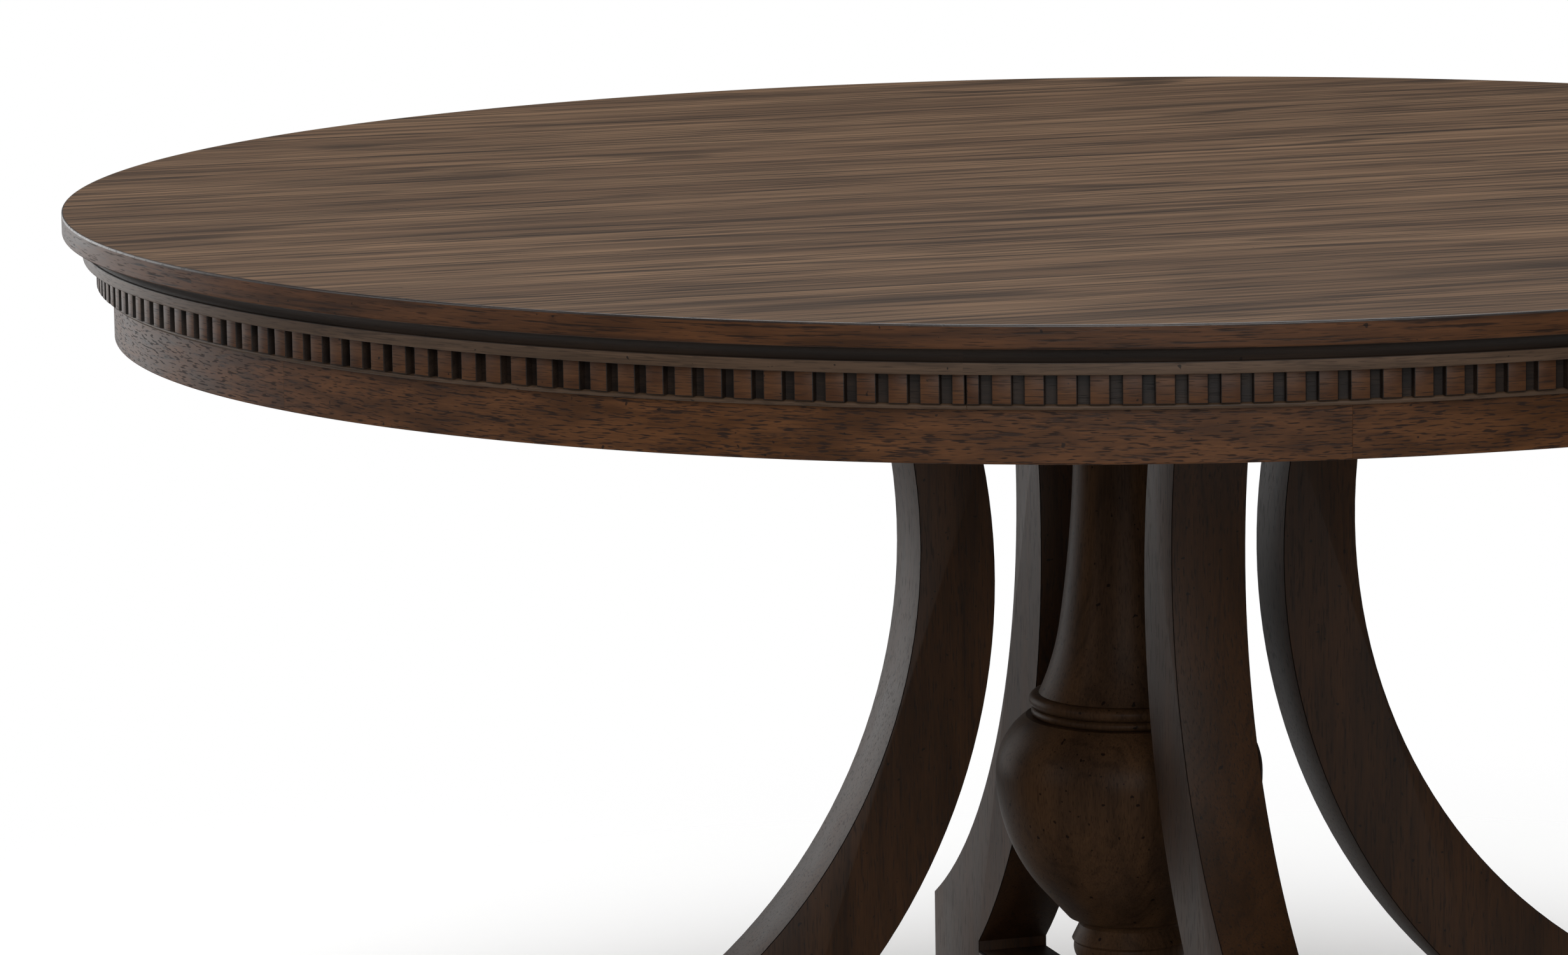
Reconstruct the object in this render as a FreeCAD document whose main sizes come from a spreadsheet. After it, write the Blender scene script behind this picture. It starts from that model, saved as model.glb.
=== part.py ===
"""Round pedestal table: dentilled round top, turned urn column and four C-shaped plank legs.

The frame is in millimetres with +Z up. The origin is on the floor at the table's axis. The legs
lie on the +X, +Y, -X and -Y axes. Heights are measured from the floor and radii from the axis.
Every driving dimension is a cell of the sheet named "sizes", and the features are bound to it.
"""
import FreeCAD, Part
import math
import os

import Sketcher

SIZES = (
    # whole table
    ("table_height", 762.0),
    ("top_radius", 762.0),
    # round top
    ("veneer_thickness", 1.5),
    ("panel_thickness", 15.5),
    ("lipping_width", 10.0),
    ("arris_radius", 1.2),
    # mouldings under the top, as depths below the top surface
    ("cove_outer_radius", 757.5),
    ("cove_inner_radius", 746.6),
    ("cove_depth", 25.0),
    ("cove_curve", 11.0),
    ("fillet_radius", 747.8),
    ("fillet_depth", 33.1),
    ("dentil_radius", 738.7),
    ("dentil_depth", 52.8),
    ("dentil_floor_radius", 732.6),
    ("dentil_pitch", 1.5457),
    ("dentil_gap_width", 7.1),
    ("bead_radius", 735.0),
    ("bead_depth", 56.5),
    ("apron_radius", 727.2),
    ("apron_thickness", 22.0),
    ("apron_depth", 91.3),
    ("seam_angle", 0.02),
    ("moulding_seam", -27.53),
    ("apron_seam", -39.0),
    ("lipping_seam", 16.75),
    ("block_depth", 20.0),
    ("block_width", 60.0),
    ("block_drop", 52.0),
    ("block_clearance", 0.1),
    # timbers under the top
    ("bearer_reach", 695.0),
    ("bearer_width", 100.0),
    ("bearer_thickness", 45.0),
    ("batten_start", 110.0),
    ("batten_end", 675.0),
    ("batten_width", 60.0),
    ("batten_thickness", 30.0),
    # legs
    ("leg_thickness", 55.5),
    ("outer_curve", 400.7),
    ("outer_centre_radius", 567.8),
    ("outer_centre_height", 511.1),
    ("inner_curve", 451.7),
    ("inner_centre_radius", 562.8),
    ("inner_centre_height", 484.6),
    ("toe_radius", 376.5),
    ("heel_radius", 268.0),
    ("foot_height", 8.0),
    ("leg_arris", 1.5),
    # base rails
    ("rail_top", 135.0),
    ("rail_bottom", 52.0),
    ("tenon_length", 25.0),
    ("tenon_width", 30.0),
    ("tenon_shoulder", 12.0),
    ("joint_clearance", 0.2),
    # turned column, radii and depths below the top surface
    ("rod_radius", 6.0),
    ("rod_bore_radius", 6.5),
    ("rod_end_gap", 1.0),
    ("cap_radius", 48.6),
    ("cap_depth", 76.3),
    ("cap_neck_depth", 98.6),
    ("cap_curve", 24.4),
    ("neck_radius", 37.5),
    ("taper_start_radius", 39.1),
    ("taper_start_depth", 208.1),
    ("taper_curve", 995.0),
    ("flare_start_radius", 50.4),
    ("flare_start_depth", 325.9),
    ("flare_curve", 193.0),
    ("shaft_foot_radius", 65.5),
    ("shaft_foot_depth", 374.7),
    ("collar_waist_radius", 68.2),
    ("collar_waist_depth", 384.8),
    ("collar_bead_curve", 5.08),
    ("collar_foot_depth", 391.4),
    ("collar_ring_curve", 3.32),
    ("shoulder_radius", 75.1),
    ("belly_radius", 97.6),
    ("belly_depth", 434.1),
    ("belly_curve", 129.5),
    ("urn_foot_radius", 63.3),
    ("urn_foot_depth", 522.1),
    ("urn_neck_radius", 45.8),
    ("urn_neck_depth", 541.4),
    ("base_neck_radius", 37.5),
    ("base_neck_depth", 547.6),
    ("ring_radius", 42.9),
    ("ring_depth", 558.7),
    ("ring_groove_depth", 560.8),
    ("ring_groove_radius", 41.2),
    ("ring_foot_depth", 578.1),
    ("ring_foot_radius", 31.5),
    ("plinth_neck_depth", 606.6),
    ("plinth_neck_radius", 54.8),
    ("plinth_radius", 61.4),
    ("plinth_depth", 612.7),
    ("plinth_curve", 8.0),
    ("scotia_curve", 28.4),
    ("ring_curve", 14.2),
    ("base_neck_curve", 10.3),
    # fasteners
    ("nut_recess_radius", 15.0),
    ("nut_recess_depth", 15.0),
    ("washer_radius", 13.0),
    ("washer_thickness", 2.5),
    ("nut_across_flats", 18.0),
    ("nut_thickness", 10.0),
    ("leg_bolt_position", 186.0),
    ("leg_bolt_radius", 3.9),
    ("leg_bolt_bore", 4.2),
    ("bolt_head_radius", 6.5),
    ("bolt_head_height", 8.0),
    ("bolt_recess_radius", 8.0),
    ("bolt_recess_depth", 12.0),
    ("barrel_radius", 6.0),
    ("barrel_length", 50.0),
    ("barrel_drop", 24.0),
    ("bolt_past_barrel", 10.0),
    ("bolt_hole_past_barrel", 14.0),
    ("dowel_radius", 4.0),
    ("dowel_length", 40.0),
    ("dowel_offset", 12.0),
    ("dowel_hole_spare", 1.0),
    ("screw_inner_position", 320.0),
    ("screw_outer_position", 600.0),
    ("screw_radius", 2.5),
    ("screw_head_radius", 4.5),
    ("screw_head_height", 3.0),
    ("screw_bite", 10.0),
    ("screw_recess_radius", 6.0),
    ("screw_recess_depth", 27.0),
    # levelling feet
    ("foot_centre", 322.0),
    ("insert_radius", 7.0),
    ("insert_length", 18.0),
    ("thread_radius", 4.05),
    ("stud_radius", 3.98),
    ("stud_bottom", 3.0),
    ("stud_top", 40.0),
    ("stud_well_top", 52.0),
    ("stud_well_clearance", 0.4),
    ("pad_radius", 16.0),
    ("pad_height", 7.0),
    ("pad_chamfer", 1.2),
    ("socket_clearance", 0.05),
    ("screw_clearance", 0.15),
)

LIPPING_COUNT = 4
MOULDING_COUNT = 4
DENTIL_GAPS = 58
APRON_COUNT = 6
BATTEN_COUNT = 4
SIDES = (("right", 0), ("back", 90), ("left", 180), ("front", 270))
OVERCUT = 1.0  # how far a cut runs on past the piece
LEAST_CUT = 1.0  # smallest volume that counts as a cut, in cubic millimetres
FLATNESS = 0.01  # an edge that strays less than this lies in one plane

doc = FreeCAD.newDocument("round_pedestal_table")
sheet = doc.addObject("Spreadsheet::Sheet", "sizes")


class Size:
    """A number with the sheet expression that gives it, so that both stay together."""

    def __init__(self, value, text=None):
        self.value = value
        self.text = repr(value) if text is None else text

    def joined(self, other, sign, value):
        return Size(value, f"({self.text} {sign} {as_size(other).text})")

    def __add__(self, other):
        return self.joined(other, "+", self.value + as_size(other).value)

    def __sub__(self, other):
        return self.joined(other, "-", self.value - as_size(other).value)

    def __mul__(self, other):
        return self.joined(other, "*", self.value * as_size(other).value)

    def __truediv__(self, other):
        return self.joined(other, "/", self.value / as_size(other).value)

    def __neg__(self):
        return Size(-self.value, f"(0 - {self.text})")


def as_size(value):
    return value if isinstance(value, Size) else Size(value)


def square_root(size):
    return Size(math.sqrt(size.value), f"sqrt({size.text})")


def cosine(angle):
    return Size(math.cos(math.radians(angle.value)), f"cos({angle.text})")


def sine(angle):
    return Size(math.sin(math.radians(angle.value)), f"sin({angle.text})")


def fill_sheet():
    """Write each size to its own row and give back the sizes by name."""
    cells = {}
    for row, (name, value) in enumerate(SIZES, start=1):
        sheet.set(f"A{row}", name.replace("_", " "))
        sheet.set(f"B{row}", str(value))
        sheet.setAlias(f"B{row}", name)
        cells[name] = Size(value, f"sizes.{name}")
    doc.recompute()
    return cells


size = fill_sheet()
ZERO = Size(0.0)
top = size["table_height"]
panel_under = top - size["panel_thickness"]
bearer_under = panel_under - size["bearer_thickness"]
parts = []


def below_top(name):
    """Height of something whose depth below the top surface is in the sheet."""
    return top - size[name]


# ---------------------------------------------------------------- building blocks


def new_body(label, turn=None):
    """A body that becomes one node; turn rotates it about the table's axis, in degrees."""
    body = doc.addObject("PartDesign::Body", label)
    body.Label = label
    body.AllowCompound = True
    if turn is not None:
        turn = as_size(turn)
        rotation = FreeCAD.Rotation(FreeCAD.Vector(0, 0, 1), turn.value)
        body.Placement = FreeCAD.Placement(FreeCAD.Vector(0, 0, 0), rotation)
        body.setExpression("Placement.Rotation.Angle", turn.text)
    parts.append(body)
    return body


def origin_feature(body, role):
    return next(item for item in body.Origin.OriginFeatures if item.Role == role)


def new_sketch(body, name, plane, offset=None):
    """A sketch on one of the body's own origin planes, moved off it by offset."""
    sketch = body.newObject("Sketcher::SketchObject", f"{body.Name}_{name}")
    sketch.AttachmentSupport = [(origin_feature(body, plane), "")]
    sketch.MapMode = "FlatFace"
    if offset is not None:
        lift = FreeCAD.Vector(0, 0, offset.value)
        sketch.AttachmentOffset = FreeCAD.Placement(lift, FreeCAD.Rotation())
        sketch.setExpression("AttachmentOffset.Base.z", offset.text)
    return sketch


def pin(sketch, geometry, vertex, point):
    """Hold a vertex at its two coordinates."""
    for kind, coordinate, axis in (("DistanceX", point[0], -2), ("DistanceY", point[1], -1)):
        if coordinate is ZERO:
            sketch.addConstraint(Sketcher.Constraint("PointOnObject", geometry, vertex, axis))
        else:
            rule = Sketcher.Constraint(kind, -1, 1, geometry, vertex, coordinate.value)
            index = sketch.addConstraint(rule)
            sketch.setExpression(f"Constraints[{index}]", coordinate.text)


def arc_between(start, end, radius, bend):
    """Arc from start to end; bend 1 keeps the centre on the left of the way, -1 on the right."""
    chord = end - start
    middle = (start + end) * 0.5
    left = FreeCAD.Vector(-chord.y, chord.x, 0).normalize()
    rise = math.sqrt(max(radius ** 2 - (chord.Length / 2) ** 2, 0.0))
    centre = middle + left * (rise * bend)
    ends = (start, end) if bend > 0 else (end, start)
    angles = [math.atan2(point.y - centre.y, point.x - centre.x) for point in ends]
    circle = Part.Circle(centre, FreeCAD.Vector(0, 0, 1), radius)
    return Part.ArcOfCircle(circle, angles[0], angles[1])


def add_outline(sketch, corners, curves=None):
    """Closed outline through the corners.

    curves maps a corner's number to (radius, bend) where the side that follows it is an arc.
    """
    curves = curves or {}
    points = [FreeCAD.Vector(x.value, y.value, 0) for x, y in corners]
    ends = []
    for number, start in enumerate(points):
        end = points[(number + 1) % len(points)]
        if number in curves:
            radius, bend = curves[number]
            index = sketch.addGeometry(arc_between(start, end, radius.value, bend), False)
            ends.append((index, 1, 2) if bend > 0 else (index, 2, 1))
        else:
            index = sketch.addGeometry(Part.LineSegment(start, end), False)
            ends.append((index, 1, 2))
    for number, (index, first, last) in enumerate(ends):
        after, after_first = ends[(number + 1) % len(ends)][:2]
        sketch.addConstraint(Sketcher.Constraint("Coincident", index, last, after, after_first))
        pin(sketch, index, first, corners[number])
    for number, (radius, bend) in curves.items():
        rule = sketch.addConstraint(Sketcher.Constraint("Radius", ends[number][0], radius.value))
        sketch.setExpression(f"Constraints[{rule}]", radius.text)


def add_circle(sketch, centre, radius):
    middle = FreeCAD.Vector(centre[0].value, centre[1].value, 0)
    circle = Part.Circle(middle, FreeCAD.Vector(0, 0, 1), radius.value)
    index = sketch.addGeometry(circle, False)
    rule = sketch.addConstraint(Sketcher.Constraint("Radius", index, radius.value))
    sketch.setExpression(f"Constraints[{rule}]", radius.text)
    pin(sketch, index, 3, centre)


def rectangle(low_x, low_y, high_x, high_y):
    return [(low_x, low_y), (high_x, low_y), (high_x, high_y), (low_x, high_y)]


def turned(body, name, corners, curves=None, angle=None):
    """Turn an outline of radii and heights about the table's axis, fully or through an angle."""
    sketch = new_sketch(body, f"{name}_profile", "XZ_Plane")
    add_outline(sketch, corners, curves)
    feature = body.newObject("PartDesign::Revolution", f"{body.Name}_{name}")
    feature.Profile = sketch
    feature.ReferenceAxis = (sketch, ["V_Axis"])
    feature.Angle = 360.0
    if angle is not None:
        feature.Angle = angle.value
        feature.setExpression("Angle", angle.text)
    sketch.Visibility = False
    return feature


def upright(body, name, bottom, height, circles=(), outline=None, kind="Pad"):
    """Pad or pocket upwards from a height: round spots given as (x, y, radius), or an outline."""
    sketch = new_sketch(body, f"{name}_plan", "XY_Plane", bottom)
    for x, y, radius in circles:
        add_circle(sketch, (x, y), radius)
    if outline:
        add_outline(sketch, outline)
    feature = body.newObject(f"PartDesign::{kind}", f"{body.Name}_{name}")
    feature.Profile = sketch
    feature.Length = height.value
    feature.setExpression("Length", height.text)
    feature.Reversed = kind == "Pocket"
    sketch.Visibility = False
    return feature


def across(body, name, width, corners=None, curves=None, circle=None, kind="Pad"):
    """Pad or pocket evenly to both sides of the XZ plane: an outline of radii and heights, or a circle."""
    sketch = new_sketch(body, f"{name}_side", "XZ_Plane")
    if circle:
        add_circle(sketch, circle[:2], circle[2])
    if corners:
        add_outline(sketch, corners, curves)
    feature = body.newObject(f"PartDesign::{kind}", f"{body.Name}_{name}")
    feature.Profile = sketch
    feature.SideType = "Symmetric"
    feature.Length = width.value
    feature.setExpression("Length", width.text)
    sketch.Visibility = False
    return feature


def around(body, features, count, angle=None):
    """Repeat features about the table's axis."""
    doc.recompute()
    pattern = body.newObject("PartDesign::PolarPattern", f"{features[0].Name}_ring")
    pattern.Originals = features
    pattern.Axis = (origin_feature(body, "Z_Axis"), [""])
    pattern.Angle = 360.0
    if angle is not None:
        pattern.Angle = angle.value
        pattern.setExpression("Angle", angle.text)
    pattern.Occurrences = count
    body.Tip = pattern
    return pattern


# ---------------------------------------------------------------- round top


def make_panel():
    """Core and backing veneer inside the lipping, under a top veneer that covers both."""
    rim = size["top_radius"]
    core_radius = rim - size["lipping_width"]
    leaf = size["veneer_thickness"]
    ease = size["arris_radius"]
    core_bottom = panel_under + leaf
    veneer = new_body("top_veneer")
    corners = [
        (ZERO, top - leaf),
        (rim, top - leaf),
        (rim, top - ease),
        (rim - ease, top),
        (ZERO, top),
    ]
    turned(veneer, "leaf", corners, {2: (ease, 1)})
    core = new_body("top_core")
    core_thickness = size["panel_thickness"] - leaf * 2
    upright(core, "disc", core_bottom, core_thickness, [(ZERO, ZERO, core_radius)])
    backing = new_body("backing_veneer")
    upright(backing, "leaf", panel_under, leaf, [(ZERO, ZERO, core_radius)])
    hole_depth = size["screw_bite"] - leaf + size["screw_clearance"]
    for body, base, depth in ((core, core_bottom, hole_depth), (backing, panel_under, leaf)):
        holes = upright(body, "screw_holes", base, depth, screw_spots(screw_bore()), kind="Pocket")
        around(body, [holes], len(SIDES))


def screw_bore():
    return size["screw_radius"] + size["screw_clearance"]


def screw_spots(radius):
    """The two screws through each arm of a bearer."""
    return [(size[name], ZERO, radius) for name in ("screw_inner_position", "screw_outer_position")]


def make_lipping():
    """Solid wood edge in quarter rings under the top veneer, its lower arris eased."""
    rim = size["top_radius"]
    ease = size["arris_radius"]
    inner = rim - size["lipping_width"]
    veneer_under = top - size["veneer_thickness"]
    for number in range(LIPPING_COUNT):
        body = new_body(f"edge_lipping_{number + 1}", size["lipping_seam"] + 90.0 * number)
        corners = [
            (inner, panel_under),
            (rim - ease, panel_under),
            (rim, panel_under + ease),
            (rim, veneer_under),
            (inner, veneer_under),
        ]
        turned(body, "ring", corners, {1: (ease, 1)}, Size(90.0) - size["seam_angle"])


def make_cornice():
    """Cove and fillet moulding under the lipping, in quarter rings."""
    for number in range(MOULDING_COUNT):
        body = new_body(f"cornice_{number + 1}", size["moulding_seam"] + 90.0 * number)
        corners = [
            (size["apron_radius"], below_top("fillet_depth")),
            (size["fillet_radius"], below_top("fillet_depth")),
            (size["fillet_radius"], below_top("cove_depth")),
            (size["cove_inner_radius"], below_top("cove_depth")),
            (size["cove_outer_radius"], panel_under),
            (size["apron_radius"], panel_under),
        ]
        curves = {3: (size["cove_curve"], -1)}
        turned(body, "moulding", corners, curves, Size(90.0) - size["seam_angle"])


def make_dentils():
    """Dentil strips in quarter rings: a band with upright slots, ending in half dentils."""
    for number in range(MOULDING_COUNT):
        body = new_body(f"dentil_strip_{number + 1}", size["moulding_seam"] + 90.0 * number)
        bottom = below_top("dentil_depth")
        upper = below_top("fillet_depth")
        corners = rectangle(size["apron_radius"], bottom, size["dentil_radius"], upper)
        turned(body, "band", corners, None, Size(90.0) - size["seam_angle"])
        gap = upright(body, "slot", bottom, upper - bottom, outline=slot_plan(), kind="Pocket")
        around(body, [gap], DENTIL_GAPS, size["dentil_pitch"] * (DENTIL_GAPS - 1))


def slot_plan():
    """Plan of the first slot of a strip, turned to its place beside the half dentil."""
    half = size["dentil_gap_width"] / 2
    turn = (Size(90.0) - size["dentil_pitch"] * (DENTIL_GAPS - 1)) / 2
    floor = size["dentil_floor_radius"]
    corners = rectangle(floor, -half, size["dentil_radius"] + OVERCUT, half)
    return [(x * cosine(turn) - y * sine(turn), x * sine(turn) + y * cosine(turn)) for x, y in corners]


def make_beads():
    """Half-round bead under the dentils, in quarter rings."""
    half_height = (size["bead_depth"] - size["dentil_depth"]) / 2
    shoulder = size["bead_radius"] - half_height
    for number in range(MOULDING_COUNT):
        body = new_body(f"bead_{number + 1}", size["moulding_seam"] + 90.0 * number)
        corners = [
            (size["apron_radius"], below_top("bead_depth")),
            (shoulder, below_top("bead_depth")),
            (size["bead_radius"], below_top("bead_depth") + half_height),
            (shoulder, below_top("dentil_depth")),
            (size["apron_radius"], below_top("dentil_depth")),
        ]
        curves = {1: (half_height, 1), 2: (half_height, 1)}
        turned(body, "moulding", corners, curves, Size(90.0) - size["seam_angle"])


def make_apron():
    """Six apron segments whose upper part backs the mouldings, and the blocks behind the seams."""
    outer = size["apron_radius"]
    inner = outer - size["apron_thickness"]
    bottom = below_top("apron_depth")
    ease = size["arris_radius"]
    for number in range(APRON_COUNT):
        body = new_body(f"apron_{number + 1}", size["apron_seam"] + 60.0 * number)
        corners = [
            (inner, bottom),
            (outer - ease, bottom),
            (outer, bottom + ease),
            (outer, panel_under),
            (inner, panel_under),
        ]
        turned(body, "segment", corners, {1: (ease, 1)}, Size(60.0) - size["seam_angle"])
    blocks = new_body("apron_blocks", size["apron_seam"])
    half = size["block_width"] / 2
    flat = square_root(inner * inner - half * half) - size["block_clearance"]
    plan = rectangle(flat - size["block_depth"], -half, flat, half)
    height = size["block_drop"]
    block = upright(blocks, "block", panel_under - height, height, outline=plan)
    around(blocks, [block], APRON_COUNT)


# ---------------------------------------------------------------- timbers under the top


def make_bearer(label, turn, lap_low):
    """Flat timber across the underside; the two are half-lapped where they cross."""
    body = new_body(label, turn)
    reach = size["bearer_reach"]
    half = size["bearer_width"] / 2
    plan = rectangle(-reach, -half, reach, half)
    upright(body, "plank", bearer_under, size["bearer_thickness"], outline=plan)
    lap = size["bearer_thickness"] / 2
    lap_plan = rectangle(-half, -half - OVERCUT, half, half + OVERCUT)
    lap_bottom = bearer_under if lap_low else bearer_under + lap
    upright(body, "lap", lap_bottom, lap, outline=lap_plan, kind="Pocket")
    rod_hole = [(ZERO, ZERO, size["rod_bore_radius"])]
    upright(body, "rod_hole", bearer_under, size["bearer_thickness"], rod_hole, kind="Pocket")
    if lap_low:
        recess = [(ZERO, ZERO, size["nut_recess_radius"])]
        recess_bottom = panel_under - size["nut_recess_depth"]
        upright(body, "nut_recess", recess_bottom, size["nut_recess_depth"], recess, kind="Pocket")
    thickness = size["bearer_thickness"]
    bolt = size["leg_bolt_position"]
    bolt_seat = panel_under - size["bolt_recess_depth"]
    screw_recesses = screw_spots(size["screw_recess_radius"])
    cuts = (
        ("bolt_hole", bearer_under, thickness, [(bolt, ZERO, size["leg_bolt_bore"])]),
        ("bolt_recess", bolt_seat, size["bolt_recess_depth"], [(bolt, ZERO, size["bolt_recess_radius"])]),
        ("dowel_holes", bearer_under, dowel_hole_depth(), dowel_spots(dowel_bore())),
        ("screw_holes", bearer_under, thickness, screw_spots(screw_bore())),
        ("screw_recesses", bearer_under, size["screw_recess_depth"], screw_recesses),
    )
    for name, bottom, height, circles in cuts:
        cut = upright(body, name, bottom, height, circles, kind="Pocket")
        around(body, [cut], 2)


def dowel_bore():
    return size["dowel_radius"] + size["screw_clearance"]


def dowel_hole_depth():
    return size["dowel_length"] / 2 + size["dowel_hole_spare"]


def dowel_spots(radius):
    """The two dowels of a leg, one each side of its bolt."""
    bolt = size["leg_bolt_position"]
    return [(bolt + size["dowel_offset"] * side, ZERO, radius) for side in (-1, 1)]


def make_battens():
    """Diagonal battens between the bearers that keep the panel flat."""
    half = size["batten_width"] / 2
    plan = rectangle(size["batten_start"], -half, size["batten_end"], half)
    height = size["batten_thickness"]
    for number in range(BATTEN_COUNT):
        body = new_body(f"batten_{number + 1}", 45.0 + 90.0 * number)
        upright(body, "plank", panel_under - height, height, outline=plan)


# ---------------------------------------------------------------- legs


def curve_radius(name, height):
    """Radius at a height on the leg's inner or outer curve."""
    rise = height - size[f"{name}_centre_height"]
    reach = size[f"{name}_curve"]
    return size[f"{name}_centre_radius"] - square_root(reach * reach - rise * rise)


def curve_height(name, radius):
    """Height below the curve's centre at a radius on the leg's inner or outer curve."""
    run = size[f"{name}_centre_radius"] - radius
    reach = size[f"{name}_curve"]
    return size[f"{name}_centre_height"] - square_root(reach * reach - run * run)


def make_leg(side, turn):
    """C-shaped plank leg with an upright toe, mortised for the base rail."""
    body = new_body(f"leg_{side}", float(turn))
    corners = [
        (curve_radius("inner", bearer_under), bearer_under),
        (size["heel_radius"], curve_height("inner", size["heel_radius"])),
        (size["heel_radius"], size["foot_height"]),
        (size["toe_radius"], size["foot_height"]),
        (size["toe_radius"], curve_height("outer", size["toe_radius"])),
        (curve_radius("outer", bearer_under), bearer_under),
    ]
    curves = {0: (size["inner_curve"], 1), 4: (size["outer_curve"], -1)}
    plank = across(body, "plank", size["leg_thickness"], corners, curves)
    doc.recompute()
    ease = body.newObject("PartDesign::Chamfer", f"{body.Name}_arris")
    ease.Base = (plank, long_edges(plank.Shape))
    ease.Size = size["leg_arris"].value
    ease.setExpression("Size", size["leg_arris"].text)
    doc.recompute()
    cut_mortise(body)
    hole = size["leg_bolt_bore"]
    spot = size["leg_bolt_position"]
    depth = size["barrel_drop"] + size["bolt_hole_past_barrel"]
    upright(body, "bolt_hole", bearer_under - depth, depth, [(spot, ZERO, hole)], kind="Pocket")
    depth = dowel_hole_depth()
    upright(body, "dowel_holes", bearer_under - depth, depth, dowel_spots(dowel_bore()), kind="Pocket")
    barrel = (spot, bearer_under - size["barrel_drop"], size["barrel_radius"] + size["screw_clearance"])
    across(body, "barrel_hole", size["leg_thickness"] + OVERCUT, circle=barrel, kind="Pocket")
    foot = [(size["foot_centre"], ZERO, size["insert_radius"] + size["screw_clearance"])]
    upright(body, "insert_hole", size["foot_height"], size["insert_length"], foot, kind="Pocket")
    well = [(size["foot_centre"], ZERO, size["thread_radius"] + size["stud_well_clearance"])]
    well_height = size["stud_well_top"] - size["foot_height"]
    upright(body, "stud_well", size["foot_height"], well_height, well, kind="Pocket")


def long_edges(shape):
    """Names of the plank's edges that lie in its two side faces."""
    names = []
    for number, edge in enumerate(shape.Edges, start=1):
        if edge.BoundBox.YLength < FLATNESS and edge.BoundBox.ZMin < bearer_under.value - FLATNESS:
            names.append(f"Edge{number}")
    return names


def cut_mortise(body):
    """Blind mortise in the heel for the base rail's tenon."""
    clear = size["joint_clearance"]
    low = size["rail_bottom"] + size["tenon_shoulder"] - clear
    high = size["rail_top"] - size["tenon_shoulder"] + clear
    end = size["heel_radius"] + size["tenon_length"] + clear
    corners = rectangle(size["heel_radius"] - OVERCUT, low, end, high)
    across(body, "mortise", size["tenon_width"] + clear * 2, corners, kind="Pocket")


def make_rail(label, turn, lap_low):
    """Base rail between two opposite legs, tenoned at both ends and half-lapped in the middle."""
    body = new_body(label, turn)
    heel = size["heel_radius"]
    half = size["leg_thickness"] / 2
    bottom = size["rail_bottom"]
    height = size["rail_top"] - bottom
    upright(body, "rail", bottom, height, outline=rectangle(-heel, -half, heel, half))
    shoulder = size["tenon_shoulder"]
    end = heel + size["tenon_length"]
    tenon_half = size["tenon_width"] / 2
    tenon_plan = rectangle(-end, -tenon_half, end, tenon_half)
    upright(body, "tenons", bottom + shoulder, height - shoulder * 2, outline=tenon_plan)
    lap_bottom = bottom if lap_low else bottom + height / 2
    lap_plan = rectangle(-half, -half - OVERCUT, half, half + OVERCUT)
    upright(body, "lap", lap_bottom, height / 2, outline=lap_plan, kind="Pocket")
    rod_hole = [(ZERO, ZERO, size["rod_bore_radius"])]
    upright(body, "rod_hole", bottom, height, rod_hole, kind="Pocket")
    if not lap_low:
        recess = [(ZERO, ZERO, size["nut_recess_radius"])]
        upright(body, "nut_recess", bottom, size["nut_recess_depth"], recess, kind="Pocket")


# ---------------------------------------------------------------- turned column


def make_column():
    """Shaft, beaded collar, urn and base, stacked on the tie rod."""
    bore = size["rod_bore_radius"]
    shaft = new_body("column_shaft")
    corners = [
        (bore, below_top("shaft_foot_depth")),
        (size["shaft_foot_radius"], below_top("shaft_foot_depth")),
        (size["flare_start_radius"], below_top("flare_start_depth")),
        (size["taper_start_radius"], below_top("taper_start_depth")),
        (size["neck_radius"], below_top("cap_neck_depth")),
        (size["cap_radius"], below_top("cap_depth")),
        (size["cap_radius"], bearer_under),
        (bore, bearer_under),
    ]
    curves = {
        1: (size["flare_curve"], -1),
        2: (size["taper_curve"], -1),
        4: (size["cap_curve"], -1),
    }
    turned(shaft, "turning", corners, curves)

    collar = new_body("column_collar")
    bead = size["collar_bead_curve"]
    ring = size["collar_ring_curve"]
    corners = [
        (bore, below_top("collar_foot_depth")),
        (size["collar_waist_radius"], below_top("collar_foot_depth")),
        (size["collar_waist_radius"], below_top("collar_waist_depth")),
        (size["collar_waist_radius"], below_top("shaft_foot_depth")),
        (bore, below_top("shaft_foot_depth")),
    ]
    turned(collar, "turning", corners, {1: (ring, 1), 2: (bead, 1)})

    urn = new_body("column_urn")
    run = size["belly_radius"] - size["shoulder_radius"]
    rise = size["belly_depth"] - size["collar_foot_depth"]
    shoulder_curve = (run * run + rise * rise) / (run * 2)
    corners = [
        (bore, below_top("urn_neck_depth")),
        (size["urn_neck_radius"], below_top("urn_neck_depth")),
        (size["urn_foot_radius"], below_top("urn_foot_depth")),
        (size["belly_radius"], below_top("belly_depth")),
        (size["shoulder_radius"], below_top("collar_foot_depth")),
        (bore, below_top("collar_foot_depth")),
    ]
    turned(urn, "turning", corners, {2: (size["belly_curve"], 1), 3: (shoulder_curve, 1)})

    base = new_body("column_base")
    corners = [
        (bore, size["rail_top"]),
        (size["plinth_radius"], size["rail_top"]),
        (size["plinth_radius"], below_top("plinth_depth")),
        (size["plinth_neck_radius"], below_top("plinth_neck_depth")),
        (size["ring_foot_radius"], below_top("ring_foot_depth")),
        (size["ring_groove_radius"], below_top("ring_groove_depth")),
        (size["ring_radius"], below_top("ring_depth")),
        (size["base_neck_radius"], below_top("base_neck_depth")),
        (size["urn_neck_radius"], below_top("urn_neck_depth")),
        (bore, below_top("urn_neck_depth")),
    ]
    curves = {
        1: (size["plinth_curve"], 1),
        3: (size["scotia_curve"], -1),
        4: (size["ring_curve"], 1),
        7: (size["base_neck_curve"], -1),
    }
    turned(base, "turning", corners, curves)


# ---------------------------------------------------------------- fasteners


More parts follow.
